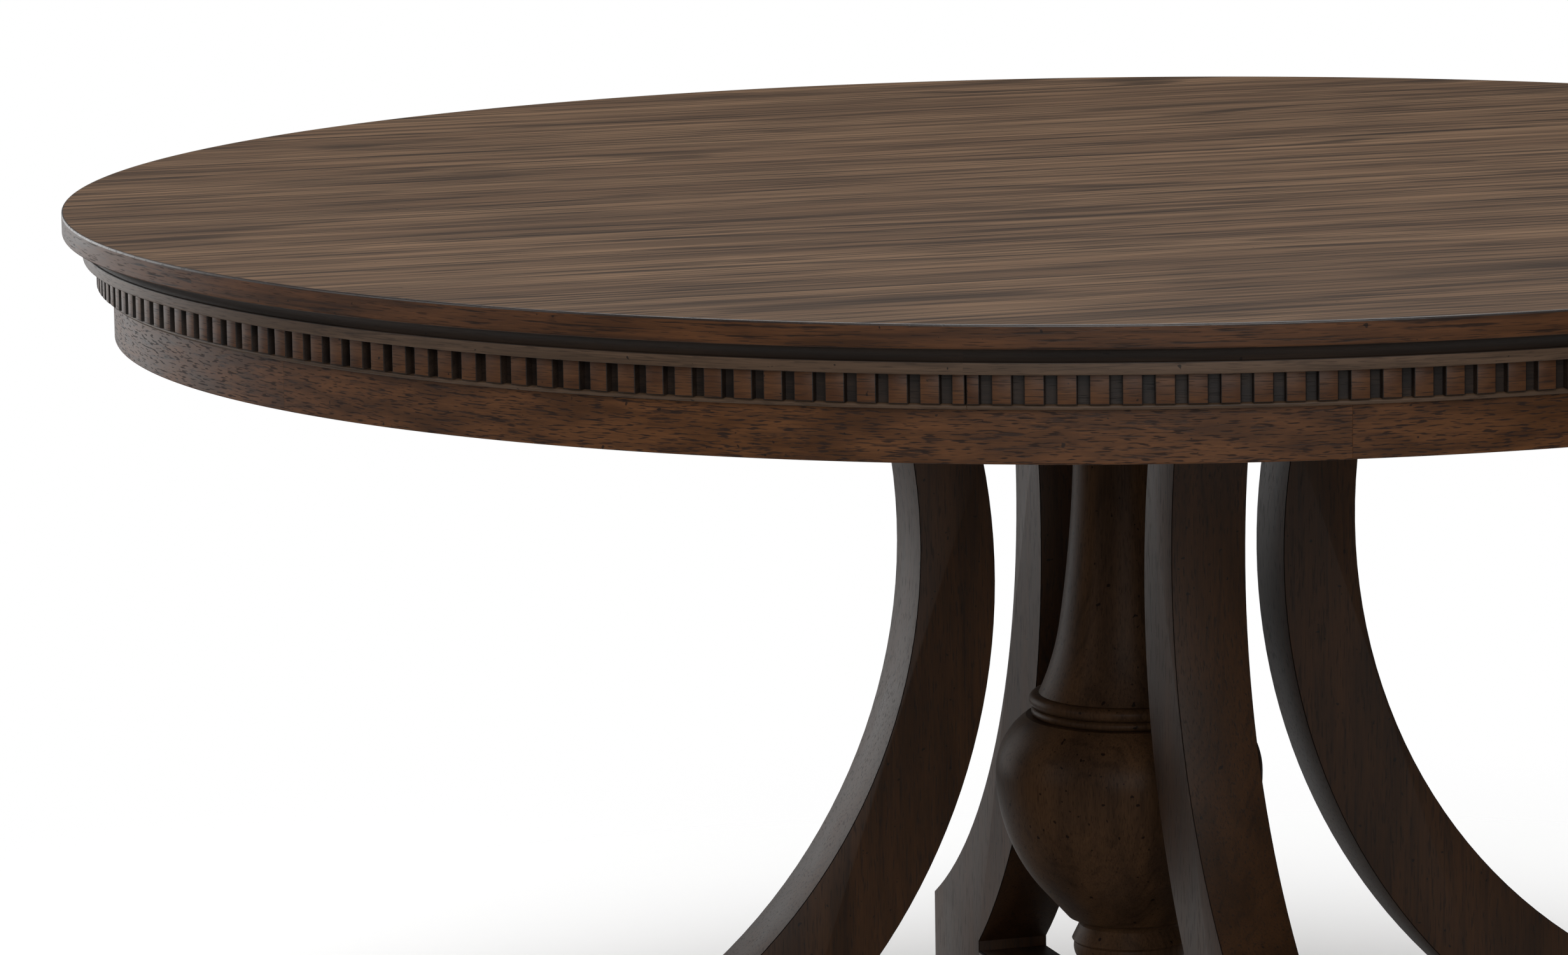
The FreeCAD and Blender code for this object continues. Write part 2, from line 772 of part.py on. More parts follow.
def make_tie_rod():
    """Threaded rod through the column, with a nut and washer at each end."""
    recess = size["nut_recess_depth"]
    low = size["rail_bottom"] + size["rod_end_gap"]
    high = panel_under - size["rod_end_gap"]
    rod = new_body("tie_rod")
    upright(rod, "rod", low, high - low, [(ZERO, ZERO, size["rod_radius"])])
    hole = (ZERO, ZERO, size["rod_bore_radius"])
    thickness = size["washer_thickness"]
    low_washer = size["rail_bottom"] + recess - thickness
    high_washer = panel_under - recess
    washers = new_body("rod_washers")
    for name, bottom in (("low", low_washer), ("high", high_washer)):
        upright(washers, name, bottom, thickness, [(ZERO, ZERO, size["washer_radius"]), hole])
    nuts = new_body("rod_nuts")
    thread = (ZERO, ZERO, size["rod_radius"] + size["screw_clearance"])
    corner = size["nut_across_flats"] / square_root(Size(3.0))
    turns = [Size(60.0) * number + 30.0 for number in range(6)]
    hexagon = [(corner * cosine(turn), corner * sine(turn)) for turn in turns]
    height = size["nut_thickness"]
    for name, bottom in (("low", low_washer - height), ("high", high_washer + thickness)):
        upright(nuts, name, bottom, height, [thread], outline=hexagon)


def make_leg_fixings():
    """Bolts, barrel nuts and dowels that hold the legs to the bearers."""
    spot = size["leg_bolt_position"]
    bolts = new_body("leg_bolts")
    seat = panel_under - size["bolt_recess_depth"]
    tip = bearer_under - size["barrel_drop"] - size["bolt_past_barrel"]
    head_plan = [(spot, ZERO, size["bolt_head_radius"])]
    head = upright(bolts, "head", seat, size["bolt_head_height"], head_plan)
    shank = upright(bolts, "shank", tip, seat - tip, [(spot, ZERO, size["leg_bolt_radius"])])
    around(bolts, [head, shank], len(SIDES))

    barrels = new_body("barrel_nuts")
    centre = bearer_under - size["barrel_drop"]
    radius = size["barrel_radius"]
    barrel = across(barrels, "barrel", size["barrel_length"], circle=(spot, centre, radius))
    thread = [(spot, ZERO, size["leg_bolt_radius"] + size["screw_clearance"])]
    bottom = centre - radius - OVERCUT
    hole = upright(barrels, "thread", bottom, (radius + OVERCUT) * 2, thread, kind="Pocket")
    around(barrels, [barrel, hole], len(SIDES))

    dowels = new_body("leg_dowels")
    length = size["dowel_length"]
    pair = upright(dowels, "pair", bearer_under - length / 2, length, dowel_spots(size["dowel_radius"]))
    around(dowels, [pair], len(SIDES))


def make_top_screws():
    """Screws up through the bearers into the core, their heads deep in the recesses."""
    screws = new_body("top_screws")
    seat = bearer_under + size["screw_recess_depth"]
    tip = panel_under + size["screw_bite"]
    height = size["screw_head_height"]
    head = upright(screws, "heads", seat - height, height, screw_spots(size["screw_head_radius"]))
    shank = upright(screws, "shanks", seat, tip - seat, screw_spots(size["screw_radius"]))
    around(screws, [head, shank], len(SIDES))


def make_levelling_feet():
    """Threaded inserts in the legs, and a stud with a pad that screws out of each."""
    spot = size["foot_centre"]
    bottom = size["foot_height"]
    inserts = new_body("leveller_inserts")
    circles = [(spot, ZERO, size["insert_radius"]), (spot, ZERO, size["thread_radius"])]
    insert = upright(inserts, "insert", bottom, size["insert_length"], circles)
    around(inserts, [insert], len(SIDES))
    for side, turn in SIDES:
        stud = new_body(f"leveller_stud_{side}", float(turn))
        low = size["stud_bottom"]
        upright(stud, "stud", low, size["stud_top"] - low, [(spot, ZERO, size["stud_radius"])])
        pad = new_body(f"leveller_pad_{side}", float(turn))
        disc = upright(pad, "disc", ZERO, size["pad_height"], [(spot, ZERO, size["pad_radius"])])
        doc.recompute()
        ease = pad.newObject("PartDesign::Chamfer", f"{pad.Name}_edge")
        ease.Base = (disc, ["Edge1", "Edge3"])
        ease.Size = size["pad_chamfer"].value
        ease.setExpression("Size", size["pad_chamfer"].text)
        socket = [(spot, ZERO, size["stud_radius"] + size["socket_clearance"])]
        upright(pad, "socket", low, size["pad_height"] - low, socket, kind="Pocket")


# ---------------------------------------------------------------- check and write


def check_model():
    """Stop if a feature failed, or if a piece is empty or not valid."""
    for item in doc.Objects:
        if "Invalid" in item.State or "Error" in item.State:
            raise RuntimeError(f"{item.Name}: {item.State}")
    for body in parts:
        if body.Shape.isNull() or not body.Shape.isValid():
            raise RuntimeError(f"{body.Label}: no valid shape")
        check_cuts(body)


def check_cuts(body):
    """Stop if a pocket removed nothing from its body."""
    before = 0.0
    for feature in body.Group:
        if not feature.isDerivedFrom("PartDesign::Feature"):
            continue
        volume = feature.Shape.Volume
        if feature.TypeId == "PartDesign::Pocket" and volume > before - LEAST_CUT:
            raise RuntimeError(f"{feature.Name} cuts nothing")
        before = volume


def write_parts():
    os.makedirs("parts", exist_ok=True)
    for body in parts:
        body.Shape.exportStep(f"parts/{body.Label}.step")
        print(body.Label, "solids", len(body.Shape.Solids), "volume", round(body.Shape.Volume), "mm3")


def main():
    make_panel()
    make_lipping()
    make_cornice()
    make_dentils()
    make_beads()
    make_apron()
    make_bearer("bearer_x", 0.0, True)
    make_bearer("bearer_y", 90.0, False)
    make_battens()
    for side, turn in SIDES:
        make_leg(side, turn)
    make_rail("base_rail_x", 0.0, False)
    make_rail("base_rail_y", 90.0, True)
    make_column()
    make_tie_rod()
    make_leg_fixings()
    make_top_screws()
    make_levelling_feet()
    doc.recompute()
    check_model()
    write_parts()


main()
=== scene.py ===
"""Round pedestal table: finished pieces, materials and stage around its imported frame.

Lengths are in metres in the frame's own axes: +Z up, the origin on the floor at the table's axis
and the legs on the X and Y axes. Sizes named in millimetres end in _mm.
"""
import math
from dataclasses import dataclass, replace

import bmesh
import bpy
from bpy.props import FloatProperty, FloatVectorProperty, IntProperty, PointerProperty
from bpy.types import Operator, PropertyGroup
from mathutils import Matrix, Vector


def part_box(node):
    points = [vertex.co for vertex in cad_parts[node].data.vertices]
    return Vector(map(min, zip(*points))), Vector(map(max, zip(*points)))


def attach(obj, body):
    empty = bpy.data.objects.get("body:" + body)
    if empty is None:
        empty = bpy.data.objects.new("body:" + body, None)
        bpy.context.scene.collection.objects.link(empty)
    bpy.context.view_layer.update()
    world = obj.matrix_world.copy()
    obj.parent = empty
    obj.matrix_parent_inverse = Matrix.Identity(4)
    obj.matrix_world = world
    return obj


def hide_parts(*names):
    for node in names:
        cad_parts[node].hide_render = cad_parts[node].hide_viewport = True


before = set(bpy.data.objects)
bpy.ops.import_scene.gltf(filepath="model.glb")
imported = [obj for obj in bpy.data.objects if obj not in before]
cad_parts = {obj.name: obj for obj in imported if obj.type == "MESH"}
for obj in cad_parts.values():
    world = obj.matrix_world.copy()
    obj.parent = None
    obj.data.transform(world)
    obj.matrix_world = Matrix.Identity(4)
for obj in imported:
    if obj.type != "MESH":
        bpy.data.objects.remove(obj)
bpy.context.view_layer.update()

bl_info = {
    "name": "Round Pedestal Table",
    "version": (1, 0, 0),
    "blender": (4, 5, 0),
    "location": "View3D > Sidebar > Table",
    "description": "Finishes a dentilled round table on four curved legs and a turned column",
    "category": "Object",
}

MM = 0.001
SAME = 1e-6  # points nearer than this are one point
NEAR = 1e-5  # points nearer than this lie on the same line
FACING = 0.9  # share of a unit normal along an axis from which a face looks that way
SHARP = math.radians(32.0)  # edges that turn by more than this are shaded as edges
QUARTER = math.pi / 2
QUARTERS = 4
APRON_LENGTHS = 6
LEFT, RIGHT = 1, -1  # side of its way on which an arc keeps its centre
SIDES = (("right", 0.0), ("back", 90.0), ("left", 180.0), ("front", 270.0))
BODY = "table"


# ---------------- reading the frame


def reach(node):
    """Largest distance of a node's points from the table's axis."""
    return max(vert.co.xy.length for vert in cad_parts[node].data.vertices)


def low_of(node):
    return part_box(node)[0].z


def high_of(node):
    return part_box(node)[1].z


def start_of(node):
    """Angle in radians where a node that is under half a ring begins."""
    points = [vert.co.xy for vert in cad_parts[node].data.vertices]
    middle = sum(points, Vector((0.0, 0.0)))
    heading = math.atan2(middle.y, middle.x)
    away = Matrix.Rotation(-heading, 2)
    return heading + min(math.atan2(*reversed(away @ point)) for point in points)


TOP = high_of("top_veneer")
PANEL_UNDER = low_of("backing_veneer")
BEARER_UNDER = low_of("bearer_x")
APRON_RADIUS = reach("apron_1")


# ---------------- sizes and colours


def linear(code):
    """Linear colour of an sRGB hex code."""
    shares = [int(code[place:place + 2], 16) / 255 for place in (0, 2, 4)]
    return tuple(s / 12.92 if s <= 0.04045 else ((s + 0.055) / 1.055) ** 2.4 for s in shares)


def length(name, description, size_mm):
    """Size property, given in millimetres and kept in metres."""
    return FloatProperty(name=name, description=description, default=size_mm * MM,
                         min=0.0, precision=4, unit="LENGTH")


def tint(name, description, code):
    """Colour property, given as an sRGB hex code and kept linear."""
    return FloatVectorProperty(name=name, description=description, default=linear(code),
                               size=3, min=0.0, max=1.0, subtype="COLOR")


class TopSizes(PropertyGroup):
    """The round top and the mouldings under it."""

    ring_steps: IntProperty(name="Steps", description="Facets in a turn", default=480, min=64)
    ease: length("Arris", "Radius of the eased arrises of the top", 1.2)
    lipping_width: length("Lipping width", "Width of the solid edge round the panel", 10.0)
    joint_ease: length("Joint ease", "Easing of the ends where two lengths meet", 0.35)
    cove_depth: length("Cove depth", "Depth of the cove's foot below the top", 25.0)
    cove_curve: length("Cove curve", "Radius of the cove", 11.0)
    cove_foot: length("Cove foot", "Distance of the cove's foot from the axis", 746.6)
    cove_quirk: length("Cove quirk", "Rise of the line between fillet and cove", 0.2)
    fillet_step: length("Fillet step", "Step out from the cove's foot to the fillet", 1.2)
    fillet_ease: length("Fillet ease", "Rounding of the fillet's edges", 0.8)
    dentil_floor: length("Dentil floor", "Distance of the gaps' floor from the axis", 732.6)
    dentil_gap: length("Dentil gap", "Width of the gap between two dentils", 7.1)
    dentil_ease: length("Dentil ease", "Rounding of a dentil's edges", 0.7)
    dentil_root: length("Dentil root", "Depth to which the dentils are let in", 1.0)
    dentil_gaps: IntProperty(name="Gaps", description="Gaps in a quarter turn", default=58, min=1)
    dentil_pitch: FloatProperty(
        name="Dentil pitch", description="Angle from one dentil to the next",
        default=math.radians(1.5457), subtype="ANGLE",
    )
    apron_wall: length("Apron thickness", "Thickness of the bent apron", 22.0)
    apron_joint: length("Apron joint", "Easing of the ends of the apron's lengths", 0.15)


class LegSizes(PropertyGroup):
    """The four curved plank legs and the crossed base rails."""

    outer_curve: length("Outer curve", "Radius of the leg's outer side", 400.7)
    outer_out: length("Outer centre", "Distance of the outer curve's centre from the axis", 567.8)
    outer_up: length("Outer centre height", "Height of the outer curve's centre", 511.1)
    inner_curve: length("Inner curve", "Radius of the leg's inner side", 451.7)
    inner_out: length("Inner centre", "Distance of the inner curve's centre from the axis", 562.8)
    inner_up: length("Inner centre height", "Height of the inner curve's centre", 484.6)
    heel: length("Heel", "Distance of the heel from the axis", 268.0)
    ease: length("Arris", "Rounding of the legs' long arrises", 2.2)
    rail_ease: length("Rail arris", "Rounding of the base rails' arrises", 1.5)
    tenon_shoulder: length("Tenon shoulder", "Step from the rail to its tenon", 12.2)
    tenon_length: length("Tenon length", "Length of the rail's tenons", 25.0)


class ColumnSizes(PropertyGroup):
    """The turned column; radii are from the axis and depths are below the top."""

    turning_steps: IntProperty(name="Steps", description="Facets in a turn", default=128, min=32)
    bore: length("Bore", "Radius of the bore for the tie rod", 6.5)
    cap_radius: length("Cap", "Radius of the cap under the bearers", 48.6)
    cap_depth: length("Cap depth", "Depth of the cap's lower edge", 76.3)
    cap_curve: length("Cap cove", "Radius of the cove under the cap", 24.4)
    neck_radius: length("Neck", "Radius at the top of the shaft", 37.5)
    neck_depth: length("Neck depth", "Depth at the top of the shaft", 98.6)
    taper_radius: length("Taper", "Radius where the shaft starts to widen", 39.1)
    taper_depth: length("Taper depth", "Depth where the shaft starts to widen", 208.1)
    taper_curve: length("Taper curve", "Radius of the long taper", 995.0)
    flare_radius: length("Flare", "Radius where the flare starts", 50.4)
    flare_depth: length("Flare depth", "Depth where the flare starts", 325.9)
    flare_curve: length("Flare curve", "Radius of the flare", 193.0)
    foot_radius: length("Shaft foot", "Radius at the foot of the shaft", 65.5)
    collar_waist: length("Collar waist", "Radius between the collar's two beads", 68.2)
    collar_depth: length("Collar waist depth", "Depth between the collar's two beads", 384.8)
    collar_bead: length("Collar bead", "Radius of the collar's large bead", 5.08)
    collar_ring: length("Collar ring", "Radius of the collar's small bead", 3.32)
    shoulder: length("Shoulder", "Radius at the top of the urn", 75.1)
    belly: length("Belly", "Largest radius of the urn", 97.6)
    belly_depth: length("Belly depth", "Depth of the urn's belly", 434.1)
    belly_curve: length("Belly curve", "Radius of the urn's lower side", 129.5)
    urn_foot: length("Urn foot", "Radius where the urn turns straight", 63.3)
    urn_foot_depth: length("Urn foot depth", "Depth where the urn turns straight", 522.1)
    urn_neck: length("Urn neck", "Radius at the foot of the urn", 45.8)
    base_neck: length("Base neck", "Radius of the groove under the urn", 37.5)
    base_neck_depth: length("Base neck depth", "Depth of the groove under the urn", 547.6)
    base_neck_curve: length("Base neck curve", "Radius of the hollow under the urn", 10.3)
    ring_radius: length("Ring", "Radius of the ring under the urn", 42.9)
    ring_depth: length("Ring depth", "Depth of the ring's lower edge", 558.7)
    groove_radius: length("Groove", "Radius of the line under the ring", 41.2)
    groove_depth: length("Groove depth", "Depth of the line under the ring", 560.8)
    cushion_curve: length("Cushion curve", "Radius of the cushion under the line", 14.2)
    scotia_top: length("Scotia top", "Radius at the top of the scotia", 31.5)
    scotia_top_depth: length("Scotia top depth", "Depth at the top of the scotia", 578.1)
    scotia_curve: length("Scotia curve", "Radius of the scotia", 28.4)
    scotia_foot: length("Scotia foot", "Radius at the foot of the scotia", 54.8)
    scotia_foot_depth: length("Scotia foot depth", "Depth at the foot of the scotia", 606.6)
    plinth: length("Plinth", "Radius of the round plinth", 61.4)
    plinth_depth: length("Plinth depth", "Depth at the top of the plinth's bulge", 612.7)
    plinth_curve: length("Plinth curve", "Radius of the plinth's bulge", 8.0)


class FootSizes(PropertyGroup):
    """The levelling feet."""

    turning_steps: IntProperty(name="Steps", description="Facets in a turn", default=48, min=12)
    pad_ease: length("Pad ease", "Rounding of the pad's edges", 1.2)
    pad_floor: length("Pad floor", "Thickness of the pad under the stud", 3.0)
    socket_gap: length("Socket gap", "Play of the stud in the pad", 0.05)
    thread_pitch: length("Thread pitch", "Distance between the stud's thread rings", 1.25)
    thread_depth: length("Thread depth", "Depth of the stud's thread", 0.6)


class Colours(PropertyGroup):
    """Colours of the stain and glaze on each cut of timber, and of the light and shade painted on
    the mouldings, dentils and arrises.
    """

    top_body: tint("Top", "Stain of the top veneer", "5a4534")
    top_pale: tint("Top, pale", "Lighter patches of the top veneer", "725a45")
    top_dark: tint("Top, dark", "Dark lines of the top veneer", "221913")
    edge_body: tint("Edge", "Stain of the lipping", "382110")
    edge_pale: tint("Edge, pale", "Lighter patches of the lipping", "58371f")
    # edge_dark also colours the painted shade on the top veneer's arris.
    edge_dark: tint("Edge, dark", "Dark lines of the lipping", "180e09")
    # The fillet and bead are painted lighter as lit, and the cove darker as shaded.
    moulding_body: tint("Moulding", "Stain of the fillet and bead, painted lighter as lit", "47372a")
    moulding_pale: tint("Moulding, pale", "Lighter streaks of the fillet and bead", "594637")
    # The cove colour is painted shade under the overhanging top.
    cove_body: tint("Cove", "Painted shade in the cove", "19120d")
    cove_pale: tint("Cove, pale", "Lighter streaks in the cove", "281d15")
    # moulding_dark is glaze in the grain, and also the painted shade in the dentils' gaps.
    moulding_dark: tint("Moulding, dark", "Glaze in the mouldings and painted shade in the dentil gaps", "140d09")
    dentil_body: tint("Dentil", "Stain of the dentils", "3f2513")
    dentil_pale: tint("Dentil, pale", "Lighter streaks of the dentils", "52341d")
    apron_body: tint("Apron", "Stain of the apron", "40250e")
    apron_pale: tint("Apron, pale", "Lighter streaks of the apron", "5a381d")
    apron_dark: tint("Apron, dark", "Pores of the apron", "1b0f0a")
    leg_body: tint("Leg", "Stain of the legs", "271607")
    leg_pale: tint("Leg, pale", "Lighter streaks of the legs", "3a230f")
    # leg_dark is glaze in the grain, and also the painted shade on the legs' and rails' arrises.
    leg_dark: tint("Leg, dark", "Glaze on the legs", "0b0604")
    column_body: tint("Column", "Stain of the column", "2b1e14")
    column_pale: tint("Column, pale", "Lighter streaks of the column", "402d1d")
    column_dark: tint("Column, dark", "Glaze in the column's grooves", "0b0604")
    timber_body: tint("Inner timber", "Unfinished timber under the top", "a98a63")
    floor: tint("Floor", "Studio floor", "fcfcfc")


GROUPS = (
    ("table_top", TopSizes),
    ("table_legs", LegSizes),
    ("table_column", ColumnSizes),
    ("table_feet", FootSizes),
    ("table_colours", Colours),
)


# ---------------- outlines and turnings


class Outline:
    """A chain of edges in the XZ plane, drawn from point to point; z is a height."""

    ARC_STEP = math.radians(6.0)

    def __init__(self, x, z):
        self.mesh = bmesh.new()
        self.first = self.mesh.verts.new((x, 0.0, z))
        self.end = self.first

    def line(self, x, z, steps=1):
        start = self.end.co.copy()
        for step in range(1, steps + 1):
            made = bmesh.ops.extrude_vert_indiv(self.mesh, verts=[self.end])
            self.end = made["verts"][0]
            self.end.co = start.lerp(Vector((x, 0.0, z)), step / steps)
        return self

    def arc(self, x, z, radius, bend, steps=3):
        """Round stretch in this many steps or more; bend is LEFT or RIGHT."""
        start = self.end.co.copy()
        chord = Vector((x, 0.0, z)) - start
        left = Vector((-chord.z, 0.0, chord.x)).normalized()
        rise = math.sqrt(max(radius ** 2 - (chord.length / 2) ** 2, 0.0))
        centre = start + chord / 2 + left * rise * bend
        sweep = 2.0 * math.asin(min(chord.length / 2 / radius, 1.0))
        spun = bmesh.ops.spin(
            self.mesh, geom=[self.end], cent=centre, axis=(0.0, -1.0, 0.0), angle=sweep * bend,
            steps=max(steps, math.ceil(sweep / self.ARC_STEP)),
        )
        self.end = next(item for item in spun["geom_last"] if isinstance(item, bmesh.types.BMVert))
        return self

    def close(self):
        bmesh.ops.contextual_create(self.mesh, geom=[self.end, self.first])
        return self


def turn_round(outline, steps):
    """Full turn of an outline about the table's axis."""
    mesh = outline.mesh
    bmesh.ops.spin(
        mesh, geom=mesh.verts[:] + mesh.edges[:], axis=(0.0, 0.0, 1.0), angle=math.tau,
        steps=steps, use_merge=True,
    )
    bmesh.ops.remove_doubles(mesh, verts=mesh.verts, dist=SAME)
    bmesh.ops.recalc_face_normals(mesh, faces=mesh.faces)
    return mesh


def turn_length(outline, sizes, count, ease=0.0):
    """One of a ring's equal lengths, from the XZ plane on, with closed and eased ends."""
    mesh = outline.mesh
    bmesh.ops.spin(
        mesh, geom=mesh.verts[:] + mesh.edges[:], axis=(0.0, 0.0, 1.0), angle=math.tau / count,
        steps=sizes.ring_steps // count,
    )
    open_edges = [edge for edge in mesh.edges if edge.is_boundary]
    bmesh.ops.holes_fill(mesh, edges=open_edges, sides=0)
    bmesh.ops.remove_doubles(mesh, verts=mesh.verts, dist=SAME)
    bmesh.ops.recalc_face_normals(mesh, faces=mesh.faces)
    round_edges(mesh, open_edges, ease, segments=1)
    return mesh


def slab(outline, thickness):
    """Closed outline extruded evenly to both sides of the XZ plane."""
    mesh = outline.mesh
    face = bmesh.ops.contextual_create(mesh, geom=mesh.edges[:])["faces"][0]
    bmesh.ops.translate(mesh, verts=mesh.verts, vec=(0.0, -thickness / 2, 0.0))
    grown = bmesh.ops.extrude_face_region(mesh, geom=[face])["geom"]
    moved = [item for item in grown if isinstance(item, bmesh.types.BMVert)]
    bmesh.ops.translate(mesh, verts=moved, vec=(0.0, thickness, 0.0))
    bmesh.ops.recalc_face_normals(mesh, faces=mesh.faces)
    return mesh


def corners_over(mesh, angle):
    """Edges where the surface turns by more than an angle."""
    return [edge for edge in mesh.edges if edge.calc_face_angle(0.0) > angle]


def round_edges(mesh, edges, radius, segments=3, material=-1):
    bmesh.ops.bevel(
        mesh, geom=edges, offset=radius, segments=segments, profile=0.5, affect="EDGES",
        material=material, clamp_overlap=True,
    )


# ---------------- grain and pieces


def along_top(point):
    """Flat leaf with its grain along X."""
    return Vector((point.x, point.y, point.z))


def along_ring(point):
    """Bent length: the grain follows the ring, with height and radius across it."""
    radius = point.xy.length
    return Vector((math.atan2(point.y, point.x) * APRON_RADIUS, point.z, radius))


def along_height(point):
    """Upright timber: the grain runs up, with the two flat directions across it."""
    return Vector((point.z, point.x, point.y))


# Step from one board's place in the log to the next, so that no two pieces look alike.
BOARD_STEP = Vector((1.37, 0.43, 0.29))


def make_piece(mesh, node, finishes, grain, board=0, turn=0.0, body=BODY):
    """Turn a built mesh into the finished piece that stands for one CAD node."""
    layer = mesh.verts.layers.float_vector.new("grain")
    shift = BOARD_STEP * board
    for vert in mesh.verts:
        vert[layer] = grain(vert.co) + shift
    bmesh.ops.rotate(mesh, verts=mesh.verts, matrix=Matrix.Rotation(turn, 3, "Z"))
    for face in mesh.faces:
        face.smooth = True
    for edge in corners_over(mesh, SHARP):
        edge.smooth = False
    data = bpy.data.meshes.new(f"finished_{node}")
    mesh.to_mesh(data)
    mesh.free()
    piece = bpy.data.objects.new(f"finished_{node}", data)
    bpy.context.scene.collection.objects.link(piece)
    for finish in finishes:
        data.materials.append(finish)
    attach(piece, body)
    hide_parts(node)


def make_ring(context, kind, draw, finishes, board, count=QUARTERS, ease=0.0, work=None):
    """Turn each of a ring's equal lengths from its outline, do its further work, and finish it."""
    sizes = context.scene.table_top
    for number in range(count):
        node = f"{kind}_{number + 1}"
        mesh = turn_length(draw(sizes, node), sizes, count, ease)
        if work:
            work(mesh, sizes, node)
        make_piece(mesh, node, finishes, along_ring, board + number, start_of(node))


# ---------------- materials


def feed(tree, node, inputs):
    """Set a node's inputs; each is a value or the socket that feeds it."""
    for key, value in inputs.items():
        if isinstance(value, bpy.types.NodeSocket):
            tree.links.new(value, node.inputs[key])
        else:
            node.inputs[key].default_value = value


def add(tree, kind, inputs, **settings):
    """Add a shader node with its settings and links."""
    node = tree.nodes.new(f"ShaderNode{kind}")
    for name, value in settings.items():
        setattr(node, name, value)
    feed(tree, node, inputs)
    return node


def new_material(name):
    """Material with only its Principled shader, and its node tree."""
    material = bpy.data.materials.new(name)
    material.use_nodes = True
    tree = material.node_tree
    return material, tree, tree.nodes["Principled BSDF"]


def opaque(colour):
    return (*colour, 1.0)


@dataclass
class Cut:
    """Figure of one cut of timber.

    Sizes in mm are the length along the grain and the width across it. A mark starts at its
    level in the noise, is full after its soft or at the end of its range, and covers its share.
    Real pores are 0.1 to 0.3 mm wide, too fine to show from the camera, so pores, streaks and
    fibres are drawn 0.9 to 7 mm wide: as coarse as they need to be, and coarsest on the top,
    which is seen at a low angle.
    """

    patch_mm: tuple = (160.0, 70.0)
    patch_range: tuple = (0.32, 0.68)
    patch_share: float = 0.8
    patch_dull: float = 0.12
    ring_gap_mm: float = 14.0
    ring_wave_mm: tuple = (300.0, 60.0)
    ring_wave: float = 5.0
    ring_edge: float = 0.3
    ring_share: float = 0.5
    zone_scale: tuple = (0.8, 0.6)
    zone_range: tuple = (0.42, 0.62)
    streak_mm: tuple = (90.0, 3.2)
    streak_share: float = 0.6
    streak_level: float = 0.6
    streak_soft: float = 0.08
    pore_mm: tuple = (14.0, 0.9)
    pore_share: float = 0.6
    pore_level: float = 0.58
    pore_soft: float = 0.1
    pore_dull: float = 0.2
    fibre_mm: tuple = (30.0, 1.2)
    fibre_range: tuple = (0.3, 0.7)
    fibre_share: float = 0.25
    fibre_relief: float = 0.5
    speck_mm: float = 5.0
    speck_level: float = 0.76
    speck_soft: float = 0.03
    speck_share: float = 0.8
    speck_tone: float = 0.3
    roughness: float = 0.45
    sheen: float = 0.2
    coat: float = 0.0
    bump_mm: float = 0.12


def noises(tree, place, *rows):
    """Noises from 0 to 1, each from the length and width of its spots in mm, its detail, its
    roughness and where it starts."""
    made = []
    for along, across, detail, roughness, start in rows:
        scale = (1 / (along * MM), 1 / (across * MM), 1 / (across * MM))
        spots = add(tree, "Mapping", {"Vector": place, "Location": (start,) * 3, "Scale": scale})
        noise = add(tree, "TexNoise", {"Vector": spots.outputs[0], "Scale": 1.0,
                                       "Detail": detail, "Roughness": roughness})
        made.append(noise.outputs["Fac"])
    return made


